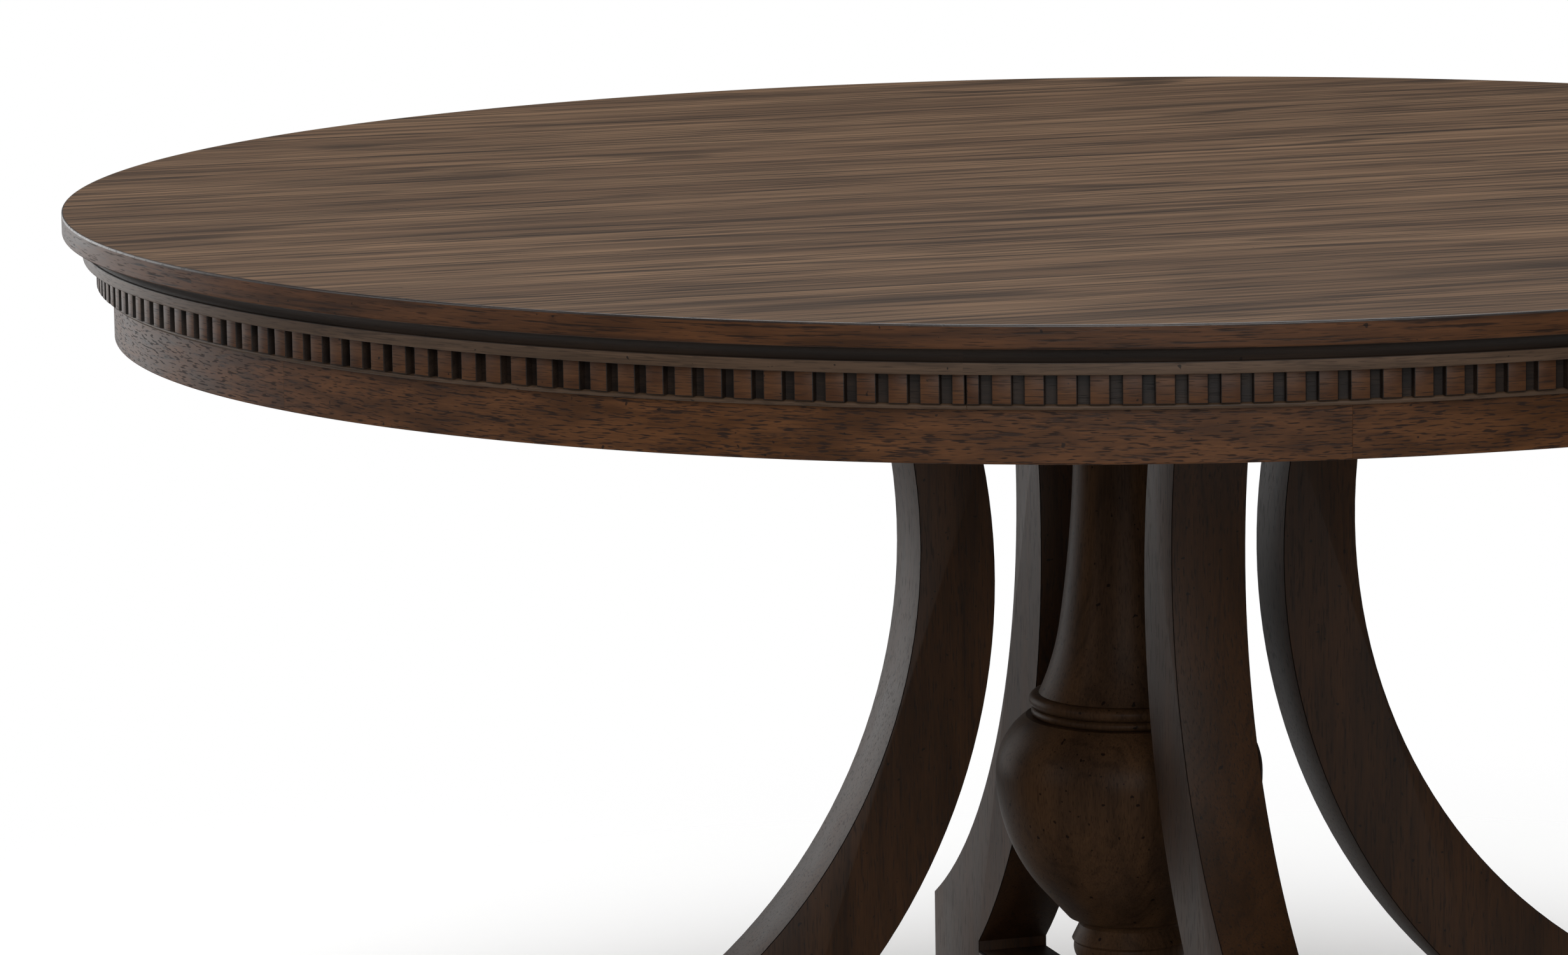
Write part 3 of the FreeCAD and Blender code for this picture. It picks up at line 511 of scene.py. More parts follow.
def stained_wood(context, name, tones, cut):
    """Open-pored hardwood, stained, glazed and sprayed with satin lacquer.

    The stain sinks unevenly and leaves cloudy patches, the glaze stays in pores and growth lines
    as fine dark dashes, and the thin lacquer gives a soft sheen that breaks up over the pores.
    """
    body, pale, dark = (getattr(context.scene.table_colours, tone) for tone in tones)
    material, tree, shader = new_material(name)
    grain = add(tree, "Attribute", {}, attribute_name="grain", attribute_type="GEOMETRY")
    place = grain.outputs["Vector"]
    zone_mm = [size * scale for size, scale in zip(cut.patch_mm, cut.zone_scale)]
    patches, wave, streaks, pores, fibres, specks, zones = noises(
        tree, place,
        (*cut.patch_mm, 4.0, 0.55, 0.0),
        (*cut.ring_wave_mm, 1.5, 0.45, 7.0),
        (*cut.streak_mm, 4.0, 0.6, 19.0),
        (*cut.pore_mm, 1.0, 0.5, 31.0),
        (*cut.fibre_mm, 2.0, 0.5, 43.0),
        (cut.speck_mm, cut.speck_mm, 1.0, 0.5, 59.0),
        (*zone_mm, 2.0, 0.5, 71.0),
    )

    # Growth rings are sine lines across the grain, bent by the slow wave.
    axes = add(tree, "SeparateXYZ", {"Vector": place}).outputs
    phase = add(tree, "Math", {0: wave, 1: cut.ring_wave * 2}, operation="MULTIPLY").outputs[0]
    for axis in ("Y", "Z"):
        phase = add(tree, "Math", {0: axes[axis], 1: 1 / (cut.ring_gap_mm * MM), 2: phase},
                    operation="MULTIPLY_ADD").outputs[0]
    turns = add(tree, "Math", {0: phase, 1: math.tau}, operation="MULTIPLY").outputs[0]
    rings = add(tree, "Math", {0: turns}, operation="SINE").outputs[0]

    marks = []
    for value, low, high, share in (
        (rings, cut.ring_edge, 1.0, cut.ring_share),
        (zones, *cut.zone_range, 1.0),
        (patches, *cut.patch_range, cut.patch_share),
        (streaks, cut.streak_level, cut.streak_level + cut.streak_soft, cut.streak_share),
        (fibres, *cut.fibre_range, cut.fibre_share),
        (pores, cut.pore_level, cut.pore_level + cut.pore_soft, cut.pore_share),
        (specks, cut.speck_level, cut.speck_level + cut.speck_soft, cut.speck_share),
    ):
        mark = add(tree, "MapRange", {"Value": value, "From Min": low, "From Max": high,
                                      "To Max": share}, interpolation_type="SMOOTHSTEP")
        marks.append(mark.outputs["Result"])
    ring_lines, ring_zones, cloud, streak_marks, shade, pore_marks, speck_marks = marks
    ring_marks = add(tree, "Math", {0: ring_lines, 1: ring_zones}, operation="MULTIPLY").outputs[0]

    colour = opaque(body)
    for share, tone in (
        (cloud, pale), (ring_marks, dark), (streak_marks, dark), (shade, dark), (pore_marks, dark),
        (speck_marks, [part * cut.speck_tone for part in dark]),
    ):
        mixed = add(tree, "Mix", {0: share, 6: colour, 7: opaque(tone)}, data_type="RGBA")
        colour = mixed.outputs[2]

    dull = add(tree, "Math", {0: pore_marks, 1: cut.pore_dull, 2: cut.roughness},
               operation="MULTIPLY_ADD").outputs[0]
    uneven = add(tree, "Math", {0: patches, 1: cut.patch_dull, 2: dull}, operation="MULTIPLY_ADD")
    grooves = add(tree, "Math", {0: pore_marks, 1: streak_marks}, operation="ADD").outputs[0]
    height = add(tree, "Math", {0: fibres, 1: cut.fibre_relief, 2: grooves},
                 operation="MULTIPLY_ADD").outputs[0]
    bump = add(tree, "Bump", {"Height": height, "Strength": 0.35, "Distance": cut.bump_mm * MM},
               invert=True)
    feed(tree, shader, {
        "Base Color": colour, "Roughness": uneven.outputs[0], "Normal": bump.outputs[0],
        "Specular IOR Level": cut.sheen, "Coat Weight": cut.coat, "Coat Roughness": 0.25,
    })
    return material


def planed_poplar(colour):
    """Planed poplar, left bare inside the table: pale, matt, with soft growth bands."""
    material, tree, shader = new_material("planed poplar")
    place = add(tree, "TexCoord", {}).outputs["Object"]
    bands, fibres = noises(tree, place, (400.0, 9.0, 2.0, 0.5, 0.0), (40.0, 1.5, 2.0, 0.5, 11.0))
    fibre_share, band_tone = 0.4, 0.6
    both = add(tree, "Math", {0: fibres, 1: fibre_share, 2: bands},
               operation="MULTIPLY_ADD").outputs[0]
    share = add(tree, "MapRange", {"Value": both, "From Min": 0.45, "From Max": 0.95}).outputs[0]
    dark = opaque(part * band_tone for part in colour)
    mixed = add(tree, "Mix", {0: share, 6: opaque(colour), 7: dark}, data_type="RGBA")
    bump = add(tree, "Bump", {"Height": both, "Strength": 0.3, "Distance": 0.2 * MM})
    feed(tree, shader, {
        "Base Color": mixed.outputs[2], "Roughness": 0.7, "Normal": bump.outputs[0],
    })
    return material


def zinc_steel():
    """Rolled steel with bright zinc plating: cool grey, with turning marks and dull spots.

    Real turning marks are finer; they are drawn 0.4 mm wide so that they show.
    """
    material, tree, shader = new_material("zinc plated steel")
    place = add(tree, "TexCoord", {}).outputs["Object"]
    spots, marks = noises(tree, place, (3.0, 3.0, 3.0, 0.5, 0.0), (6.0, 0.4, 1.0, 0.5, 5.0))
    share = add(tree, "MapRange", {"Value": spots, "From Min": 0.3, "From Max": 0.7}).outputs[0]
    bright, worn = opaque(linear("b9bcbf")), opaque(linear("8f9395"))
    mixed = add(tree, "Mix", {0: share, 6: bright, 7: worn}, data_type="RGBA")
    rough = add(tree, "MapRange", {"Value": spots, "To Min": 0.25, "To Max": 0.5})
    bump = add(tree, "Bump", {"Height": marks, "Strength": 0.2, "Distance": 0.05 * MM})
    feed(tree, shader, {
        "Base Color": mixed.outputs[2], "Roughness": rough.outputs[0], "Normal": bump.outputs[0],
        "Metallic": 1.0,
    })
    return material


def moulded_nylon():
    """Injection-moulded nylon: dark grey with a spark-eroded texture and a low sheen.

    The real texture is finer; its grit is drawn 0.8 mm wide so that it shows.
    """
    material, tree, shader = new_material("moulded nylon")
    place = add(tree, "TexCoord", {}).outputs["Object"]
    grit, cloud = noises(tree, place, (0.8, 0.8, 2.0, 0.5, 0.0), (9.0, 9.0, 2.0, 0.5, 3.0))
    deep, light = opaque(linear("2b2b2c")), opaque(linear("393938"))
    mixed = add(tree, "Mix", {0: cloud, 6: deep, 7: light}, data_type="RGBA")
    rough = add(tree, "MapRange", {"Value": grit, "To Min": 0.45, "To Max": 0.65})
    bump = add(tree, "Bump", {"Height": grit, "Strength": 0.4, "Distance": 0.06 * MM})
    feed(tree, shader, {
        "Base Color": mixed.outputs[2], "Roughness": rough.outputs[0], "Normal": bump.outputs[0],
    })
    return material


def dress(nodes, material):
    """Give the CAD nodes that stay their material."""
    for node in nodes:
        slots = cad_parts[node].data.materials
        slots.clear()
        slots.append(material)


# ---------------- operators


class TABLE_OT_top_veneer(Operator):
    """Lay the round leaf of veneer on the panel"""

    bl_idname = "table.top_veneer"
    bl_label = "Top veneer"

    def execute(self, context):
        sizes = context.scene.table_top
        rim = reach("top_veneer")
        under = low_of("top_veneer")
        ease = sizes.ease
        outline = Outline(0.0, under).line(rim / 2, under).line(rim, under).line(rim, TOP - ease)
        outline.arc(rim - ease, TOP, ease, LEFT, steps=4)
        outline.line(rim / 2, TOP).line(0.0, TOP)
        mesh = turn_round(outline, sizes.ring_steps)
        cut = Cut(
            patch_mm=(420.0, 60.0), ring_gap_mm=36.0, ring_wave_mm=(700.0, 120.0),
            ring_wave=3.0, ring_edge=0.5, ring_share=0.7, streak_mm=(280.0, 7.0),
            streak_share=0.85, streak_level=0.57, pore_mm=(110.0, 4.0), pore_share=0.65,
            pore_level=0.56, fibre_mm=(260.0, 5.0), fibre_share=0.6, speck_level=0.8,
            roughness=0.5, sheen=0.12,
        )
        leaf = stained_wood(
            context, "stained walnut leaf", ("top_body", "top_pale", "top_dark"), cut
        )
        arris = stained_wood(
            context, "glazed walnut arris", ("edge_dark", "edge_body", "edge_dark"),
            replace(cut, patch_share=0.3, roughness=0.3, sheen=0.5),
        )
        # The arris and the rim's side take the second finish: a dark colour painted on as shade,
        # under a strong sheen.
        for item in mesh.faces:
            centre = item.calc_center_median()
            item.material_index = int(centre.xy.length > rim - ease and centre.z > under)
        make_piece(mesh, "top_veneer", [leaf, arris], along_top)
        return {"FINISHED"}


class TABLE_OT_lipping(Operator):
    """Glue the four bent lengths of lipping round the panel"""

    bl_idname = "table.lipping"
    bl_label = "Edge lipping"

    def execute(self, context):
        cut = Cut(
            patch_mm=(120.0, 14.0), ring_gap_mm=9.0, ring_wave_mm=(260.0, 14.0), ring_wave=1.6,
            streak_mm=(60.0, 2.6), streak_share=0.85, streak_level=0.57, roughness=0.42, sheen=0.16,
        )
        finish = stained_wood(
            context, "stained walnut lipping", ("edge_body", "edge_pale", "edge_dark"), cut
        )
        make_ring(context, "edge_lipping", lipping_outline, [finish], board=3)
        return {"FINISHED"}


def lipping_outline(sizes, node):
    """Square lipping with its lower outer arris eased."""
    rim = reach(node)
    ease = sizes.ease
    outline = Outline(rim - sizes.lipping_width, PANEL_UNDER).line(rim - ease, PANEL_UNDER)
    outline.arc(rim, PANEL_UNDER + ease, ease, LEFT, steps=4)
    return outline.line(rim, high_of(node)).line(rim - sizes.lipping_width, high_of(node)).close()


class TABLE_OT_cornice(Operator):
    """Fit the cove and fillet moulding under the top"""

    bl_idname = "table.cornice"
    bl_label = "Cornice"

    def execute(self, context):
        make_ring(
            context, "cornice", cornice_outline, moulding_finishes(context),
            board=11, ease=context.scene.table_top.joint_ease, work=shade_cove,
        )
        return {"FINISHED"}


def cornice_outline(sizes, node):
    """Fillet with rounded edges under a cove that runs out to the rim."""
    foot = low_of(node)
    fillet = sizes.cove_foot + sizes.fillet_step
    cove_low = TOP - sizes.cove_depth
    ease = sizes.fillet_ease
    outline = Outline(APRON_RADIUS, foot).line(fillet - ease, foot)
    outline.arc(fillet, foot + ease, ease, LEFT).line(fillet, cove_low - ease)
    outline.arc(fillet - ease, cove_low, ease, LEFT)
    outline.line(sizes.cove_foot, cove_low + sizes.cove_quirk)
    outline.arc(reach(node), PANEL_UNDER, sizes.cove_curve, RIGHT, steps=8)
    return outline.line(APRON_RADIUS, PANEL_UNDER).close()


def shade_cove(mesh, sizes, node):
    """Paint the faces above the fillet dark, as painted shade in the cove."""
    for item in mesh.faces:
        above = item.calc_center_median().z > TOP - sizes.cove_depth - sizes.fillet_ease
        item.material_index = int(above)


def moulding_finishes(context):
    """Finishes of the cornice and the bead: faces painted lighter as lit, and the cove painted dark
    as shade.
    """
    names = ("rubbed walnut moulding", "glazed walnut cove")
    if names[0] in bpy.data.materials:
        return [bpy.data.materials[name] for name in names]
    cut = Cut(
        patch_mm=(140.0, 10.0), ring_share=0.3, ring_gap_mm=8.0,
        ring_wave_mm=(200.0, 10.0), streak_mm=(80.0, 1.6), streak_share=0.4, pore_share=0.35,
        roughness=0.42, sheen=0.17,
    )
    # The faces below the cove take a lighter tone as painted light, and the cove a dark one as
    # painted shade.
    tones = (("moulding_body", "moulding_pale"), ("cove_body", "cove_pale"))
    return [
        stained_wood(context, name, (*pair, "moulding_dark"), cut)
        for name, pair in zip(names, tones)
    ]


class TABLE_OT_dentils(Operator):
    """Cut the dentils round the frieze"""

    bl_idname = "table.dentils"
    bl_label = "Dentils"

    def execute(self, context):
        cut = Cut(
            patch_mm=(30.0, 14.0), patch_share=0.9, ring_share=0.25, ring_gap_mm=6.0,
            streak_mm=(30.0, 1.6), streak_share=0.5,
        )
        finishes = [
            stained_wood(context, "stained walnut dentil",
                         ("dentil_body", "dentil_pale", "moulding_dark"), cut),
            stained_wood(context, "glazed walnut ground",
                         ("moulding_dark", "cove_pale", "leg_dark"), cut),
        ]
        make_ring(
            context, "dentil_strip", dentil_ground, finishes, board=17,
            work=cut_dentils,
        )
        return {"FINISHED"}


def dentil_ground(sizes, node):
    """Plain strip that the dentils stand on."""
    low, high = low_of(node), high_of(node)
    outline = Outline(APRON_RADIUS, low).line(sizes.dentil_floor, low)
    return outline.line(sizes.dentil_floor, high).line(APRON_RADIUS, high).close()


def cut_dentils(mesh, sizes, node):
    """Row of equal dentils between a wider one at each end of the strip."""
    # The strip, seen in the gaps, takes the dark finish: painted shade in the gaps.
    for item in mesh.faces:
        item.material_index = 1
    floor = sizes.dentil_floor
    between = sizes.dentil_gaps - 1
    first = (QUARTER - between * sizes.dentil_pitch) / 2
    width = sizes.dentil_pitch * floor - sizes.dentil_gap
    end_width = first * floor - sizes.dentil_gap / 2 - sizes.joint_ease
    end_middle = (end_width / 2 + sizes.joint_ease) / floor
    box = (low_of(node), high_of(node), reach(node))
    add_dentils(mesh, sizes, box, width, first + sizes.dentil_pitch / 2, between)
    for middle in (end_middle, QUARTER - end_middle):
        add_dentils(mesh, sizes, box, end_width, middle, 1)


def add_dentils(mesh, sizes, box, width, angle, count):
    """Add a row of dentils with rounded edges to a strip; their edges, sides, tops and undersides
    take the dark finish of glaze and painted shade.
    """
    low, high, front = box
    floor = sizes.dentil_floor
    root = floor - sizes.dentil_root
    block = bmesh.new()
    scale = Matrix.Diagonal((front - root, width, high - low, 1.0))
    place = Matrix.Translation(((front + root) / 2, 0.0, (high + low) / 2))
    bmesh.ops.create_cube(block, size=1.0, matrix=place @ scale)
    outer = [edge for edge in block.edges if all(vert.co.x > floor for vert in edge.verts)]
    round_edges(block, outer, sizes.dentil_ease, segments=2, material=1)
    # Sides, tops and undersides of each dentil are painted dark as shade.
    for item in block.faces:
        if abs(item.normal.x) < FACING:
            item.material_index = 1
    bmesh.ops.rotate(block, verts=block.verts, matrix=Matrix.Rotation(angle, 3, "Z"))
    if count > 1:
        bmesh.ops.spin(
            block, geom=block.verts[:] + block.edges[:] + block.faces[:], axis=(0.0, 0.0, 1.0),
            angle=sizes.dentil_pitch * (count - 1), steps=count - 1, use_duplicate=True,
        )
    carrier = bpy.data.meshes.new("dentil row")
    block.to_mesh(carrier)
    block.free()
    mesh.from_mesh(carrier)
    bpy.data.meshes.remove(carrier)


class TABLE_OT_beads(Operator):
    """Fit the half-round bead under the dentils"""

    bl_idname = "table.beads"
    bl_label = "Beads"

    def execute(self, context):
        make_ring(
            context, "bead", bead_outline, moulding_finishes(context),
            board=23, ease=context.scene.table_top.joint_ease,
        )
        return {"FINISHED"}


def bead_outline(sizes, node):
    """Half-round nose on a flat strip."""
    low, high = low_of(node), high_of(node)
    half = (high - low) / 2
    nose = reach(node)
    outline = Outline(APRON_RADIUS, low).line(nose - half, low)
    outline.arc(nose, low + half, half, LEFT, steps=5)
    outline.arc(nose - half, high, half, LEFT, steps=5)
    return outline.line(APRON_RADIUS, high).close()


class TABLE_OT_apron(Operator):
    """Bend the six lengths of the apron"""

    bl_idname = "table.apron"
    bl_label = "Apron"

    def execute(self, context):
        cut = Cut(
            patch_mm=(60.0, 14.0), patch_share=1.0, ring_share=0.3, ring_gap_mm=12.0,
            ring_wave_mm=(200.0, 20.0), ring_wave=1.5, streak_mm=(26.0, 2.2), streak_share=0.75,
            streak_level=0.56, pore_mm=(11.0, 1.3), pore_share=0.85, pore_level=0.55, sheen=0.19,
        )
        finish = stained_wood(
            context, "stained sapele apron", ("apron_body", "apron_pale", "apron_dark"), cut
        )
        make_ring(
            context, "apron", apron_outline, [finish], board=29,
            count=APRON_LENGTHS, ease=context.scene.table_top.apron_joint,
        )
        return {"FINISHED"}


def apron_outline(sizes, node):
    """Upright board with its lower outer arris eased."""
    low = low_of(node)
    inner = APRON_RADIUS - sizes.apron_wall
    outline = Outline(inner, low).line(APRON_RADIUS - sizes.ease, low)
    outline.arc(APRON_RADIUS, low + sizes.ease, sizes.ease, LEFT)
    return outline.line(APRON_RADIUS, PANEL_UNDER).line(inner, PANEL_UNDER).close()


def leg_finishes(context):
    """Finishes of the legs and the base rails: the faces, and the arrises painted dark as shade."""
    names = ("stained beech leg", "glazed beech arris")
    if names[0] in bpy.data.materials:
        return [bpy.data.materials[name] for name in names]
    cut = Cut(
        patch_mm=(170.0, 26.0), patch_share=0.7, ring_share=0.3, ring_gap_mm=10.0,
        ring_wave_mm=(420.0, 30.0), ring_wave=2.0, streak_mm=(90.0, 2.0), streak_share=0.5,
        pore_mm=(14.0, 1.2), pore_share=0.55, speck_level=0.74, roughness=0.42, sheen=0.22,
    )
    shaded_arris = replace(cut, roughness=0.7, sheen=0.04)
    return [
        stained_wood(context, names[0], ("leg_body", "leg_pale", "leg_dark"), cut),
        stained_wood(context, names[1], ("leg_dark",) * 3, shaded_arris),
    ]


class TABLE_OT_legs(Operator):
    """Saw the four curved legs from planks and round their arrises"""

    bl_idname = "table.legs"
    bl_label = "Legs"

    def execute(self, context):
        sizes = context.scene.table_legs
        finishes = leg_finishes(context)
        near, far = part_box("leg_right")
        for number, (side, turn) in enumerate(SIDES):
            node = f"leg_{side}"
            mesh = slab(leg_outline(sizes, low_of(node), far.x), far.y - near.y)
            long_edges = [
                edge for edge in corners_over(mesh, SHARP)
                if edge.verts[0].co.y * edge.verts[1].co.y > 0
                and max(vert.co.z for vert in edge.verts) < BEARER_UNDER - MM
            ]
            # Rounded arrises take the second finish, painted dark as the shade line between side
            # and face.
            round_edges(mesh, long_edges, sizes.ease, material=1)
            make_piece(mesh, node, finishes, along_height,
                       board=number + 37, turn=math.radians(turn))
        return {"FINISHED"}


def on_curve(centre, up, radius, height):
    """Distance from the axis at a height, on a leg's curve."""
    return centre - math.sqrt(radius ** 2 - (height - up) ** 2)


def under_curve(centre, up, radius, out):
    """Height at a distance from the axis, on the lower half of a leg's curve."""
    return up - math.sqrt(radius ** 2 - (centre - out) ** 2)


def leg_outline(sizes, low, toe):
    """Side view of a leg: inner curve down to the heel, the foot, and the outer curve back up."""
    inner = (sizes.inner_out, sizes.inner_up, sizes.inner_curve)
    outer = (sizes.outer_out, sizes.outer_up, sizes.outer_curve)
    outline = Outline(on_curve(*inner, BEARER_UNDER), BEARER_UNDER)
    outline.arc(sizes.heel, under_curve(*inner, sizes.heel), sizes.inner_curve, LEFT, steps=40)
    outline.line(sizes.heel, low).line(toe, low).line(toe, under_curve(*outer, toe))
    outline.arc(
        on_curve(*outer, BEARER_UNDER), BEARER_UNDER, sizes.outer_curve, RIGHT, steps=40
    )
    return outline.close()


class TABLE_OT_base_rails(Operator):
    """Lap the two base rails over each other between the legs"""

    bl_idname = "table.base_rails"
    bl_label = "Base rails"

    def execute(self, context):
        sizes = context.scene.table_legs
        finishes = leg_finishes(context)
        low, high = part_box("base_rail_x")
        half = (high.y - low.y) / 2
        heel = high.x - sizes.tenon_length
        rails = (("base_rail_x", 0.0, True, 43), ("base_rail_y", QUARTER, False, 44))
        for node, turn, notch_up, board in rails:
            mesh = slab(rail_outline(low.z, high.z, heel, half, notch_up), high.y - low.y)
            ends = [
                face for face in mesh.faces
                if abs(face.normal.x) > FACING and abs(face.calc_center_median().x) > half + MM
            ]
            bmesh.ops.inset_individual(mesh, faces=ends, thickness=sizes.tenon_shoulder)
            for face in ends:
                out = math.copysign(sizes.tenon_length, face.calc_center_median().x)
                grown = bmesh.ops.extrude_discrete_faces(mesh, faces=[face])["faces"]
                bmesh.ops.translate(mesh, verts=grown[0].verts[:], vec=(out, 0.0, 0.0))
            long_edges = [
                edge for edge in corners_over(mesh, SHARP)
                if all(abs(vert.co.x) <= heel + NEAR and abs(abs(vert.co.y) - half) < NEAR
                       for vert in edge.verts)
                and abs(edge.verts[0].co.z - edge.verts[1].co.z) < SAME
            ]
            # Rounded arrises take the second finish, painted dark as shade.
            round_edges(mesh, long_edges, sizes.rail_ease, segments=2, material=1)
            make_piece(mesh, node, finishes, along_top, board, turn)
        return {"FINISHED"}


def rail_outline(low, high, heel, half, notch_up):
    """Side view of a base rail without its tenons, with the halving notch above or below."""
    middle = (low + high) / 2
    if notch_up:
        outline = Outline(-heel, low).line(heel, low).line(heel, high).line(half, high)
        outline.line(half, middle).line(-half, middle).line(-half, high)
    else:
        outline = Outline(-heel, low).line(-half, low).line(-half, middle)
        outline.line(half, middle).line(half, low).line(heel, low).line(heel, high)
    return outline.line(-heel, high).close()


class TABLE_OT_column(Operator):
    """Turn the shaft, collar, urn and base of the column"""

    bl_idname = "table.column"
    bl_label = "Column"

    def execute(self, context):
        sizes = context.scene.table_column
        cut = Cut(
            patch_mm=(150.0, 30.0), ring_share=0.25, ring_gap_mm=9.0,
            ring_wave_mm=(300.0, 24.0), ring_wave=1.2, streak_mm=(60.0, 2.0), streak_share=0.35,
            pore_mm=(8.0, 0.9), pore_share=0.4, speck_level=0.72, roughness=0.36, sheen=0.03,
            coat=0.01,
        )
        finish = stained_wood(
            context, "turned beech, glazed", ("column_body", "column_pale", "column_dark"), cut
        )
        outlines = (
            ("column_shaft", shaft_outline), ("column_collar", collar_outline),
            ("column_urn", urn_outline), ("column_base", base_outline),
        )
        for number, (node, draw) in enumerate(outlines):
            outline = draw(sizes, low_of(node), high_of(node)).close()
            mesh = turn_round(outline, sizes.turning_steps)
            make_piece(mesh, node, [finish], along_height, board=number + 47)
        return {"FINISHED"}


def shaft_outline(sizes, low, high):
    """Shaft with a flared foot, a long taper, and a coved cap under the bearers."""
    outline = Outline(sizes.bore, low).line(sizes.foot_radius, low)
    outline.arc(sizes.flare_radius, TOP - sizes.flare_depth, sizes.flare_curve, RIGHT, steps=14)
    outline.arc(
        sizes.taper_radius, TOP - sizes.taper_depth, sizes.taper_curve, RIGHT, steps=14
    )
    outline.line(sizes.neck_radius, TOP - sizes.neck_depth, steps=6)
    outline.arc(sizes.cap_radius, TOP - sizes.cap_depth, sizes.cap_curve, RIGHT, steps=8)
    return outline.line(sizes.cap_radius, high).line(sizes.bore, high)


def collar_outline(sizes, low, high):
    """Small bead under a large one."""
    waist = TOP - sizes.collar_depth
    outline = Outline(sizes.bore, low).line(sizes.collar_waist, low)
    outline.arc(sizes.collar_waist, waist, sizes.collar_ring, LEFT, steps=12)
    outline.arc(sizes.collar_waist, high, sizes.collar_bead, LEFT, steps=14)
    return outline.line(sizes.bore, high)


def urn_outline(sizes, low, high):
    """Urn with a round shoulder over a long belly that runs in straight to the foot."""
    belly_height = TOP - sizes.belly_depth
    run = sizes.belly - sizes.shoulder
    rise = high - belly_height
    shoulder_curve = (run ** 2 + rise ** 2) / (run * 2)
    outline = Outline(sizes.bore, low).line(sizes.urn_neck, low)
    outline.line(sizes.urn_foot, TOP - sizes.urn_foot_depth, steps=3)
    outline.arc(sizes.belly, belly_height, sizes.belly_curve, LEFT, steps=18)
    outline.arc(sizes.shoulder, high, shoulder_curve, LEFT, steps=16)
    return outline.line(sizes.bore, high)


def base_outline(sizes, low, high):
    """Round plinth, scotia, cushion with a line cut round it, and the ring under the urn."""
    outline = Outline(sizes.bore, low).line(sizes.plinth, low)
    outline.arc(sizes.plinth, TOP - sizes.plinth_depth, sizes.plinth_curve, LEFT, steps=10)
    outline.line(sizes.scotia_foot, TOP - sizes.scotia_foot_depth, steps=2)
    outline.arc(
        sizes.scotia_top, TOP - sizes.scotia_top_depth, sizes.scotia_curve, RIGHT, steps=12
    )
    outline.arc(
        sizes.groove_radius, TOP - sizes.groove_depth, sizes.cushion_curve, LEFT, steps=10
    )
    outline.line(sizes.ring_radius, TOP - sizes.ring_depth)
    outline.line(sizes.base_neck, TOP - sizes.base_neck_depth, steps=3)
    outline.arc(sizes.urn_neck, high, sizes.base_neck_curve, RIGHT, steps=8)
    return outline.line(sizes.bore, high)


class TABLE_OT_hidden_timber(Operator):
    """Leave the panel, bearers, battens and blocks bare"""

    bl_idname = "table.hidden_timber"
    bl_label = "Hidden timber"

    def execute(self, context):
        bare = ["top_core", "backing_veneer", "apron_blocks", "bearer_x", "bearer_y", "leg_dowels"]
        bare += [f"batten_{number}" for number in range(1, 5)]
        dress(bare, planed_poplar(context.scene.table_colours.timber_body))
        return {"FINISHED"}


class TABLE_OT_hardware(Operator):
    """Plate the rod, nuts, bolts, screws and inserts"""

    bl_idname = "table.hardware"
    bl_label = "Hardware"

    def execute(self, context):
        plated = (
            "tie_rod", "rod_washers", "rod_nuts", "leg_bolts", "barrel_nuts", "top_screws",
            "leveller_inserts",
        )
        dress(plated, zinc_steel())
        return {"FINISHED"}


class TABLE_OT_levelling_feet(Operator):
    """Turn the threaded studs and mould the pads of the levelling feet"""

    bl_idname = "table.levelling_feet"
    bl_label = "Levelling feet"

    def execute(self, context):
        sizes = context.scene.table_feet
        steel = bpy.data.materials["zinc plated steel"]
        nylon = moulded_nylon()
        for side, _ in SIDES:
            body = f"leveller_{side}"
            node = f"leveller_stud_{side}"
            low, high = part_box(node)
            middle = (low + high) / 2
            radius = (high.x - low.x) / 2
            stud = turn_round(stud_outline(sizes, radius, low.z, high.z), sizes.turning_steps)
            bmesh.ops.translate(stud, verts=stud.verts, vec=(middle.x, middle.y, 0.0))
            make_piece(stud, node, [steel], along_height, body=body)
            node = f"leveller_pad_{side}"
            low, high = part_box(node)
            shape = pad_outline(sizes, (high.x - low.x) / 2, radius, low.z, high.z)
            pad = turn_round(shape, sizes.turning_steps)
            bmesh.ops.translate(pad, verts=pad.verts, vec=(middle.x, middle.y, 0.0))
            make_piece(pad, node, [nylon], along_height, body=body)
        return {"FINISHED"}


THREAD_CREST = (0.4, 0.6)  # where the flat crest of a thread ring starts and ends in its pitch


def stud_outline(sizes, radius, low, high):
    """Stud whose thread is a row of rings, with a plain end above and below it."""
    root = radius - sizes.thread_depth
    pitch = sizes.thread_pitch
    outline = Outline(0.0, low).line(root, low)
    rings = int((high - low - 2 * sizes.thread_depth) / pitch)
    for ring in range(rings):
        foot = low + sizes.thread_depth + ring * pitch
        for place in THREAD_CREST:
            outline.line(radius, foot + pitch * place)
        outline.line(root, foot + pitch)
    return outline.line(root, high).line(0.0, high)


def pad_outline(sizes, radius, stud, low, high):
    """Round pad with a flat sole, rounded edges and a socket for the stud."""
    ease = sizes.pad_ease
    socket = stud + sizes.socket_gap
    floor = low + sizes.pad_floor
    outline = Outline(0.0, low).line(radius - ease, low)
    outline.arc(radius, low + ease, ease, LEFT, steps=4)
    outline.line(radius, high - ease).arc(radius - ease, high, ease, LEFT, steps=4)
    return outline.line(socket, high).line(socket, floor).line(0.0, floor)


class TABLE_OT_stage(Operator):
    """Lay the floor and set the lights and the camera"""

    bl_idname = "table.stage"
    bl_label = "Stage"

    def execute(self, context):
        scene = context.scene
        lay_floor(scene)
        hang_lights(scene)
        set_camera(scene)
        light_surroundings(scene)
        scene.view_settings.view_transform = "Standard"
        return {"FINISHED"}


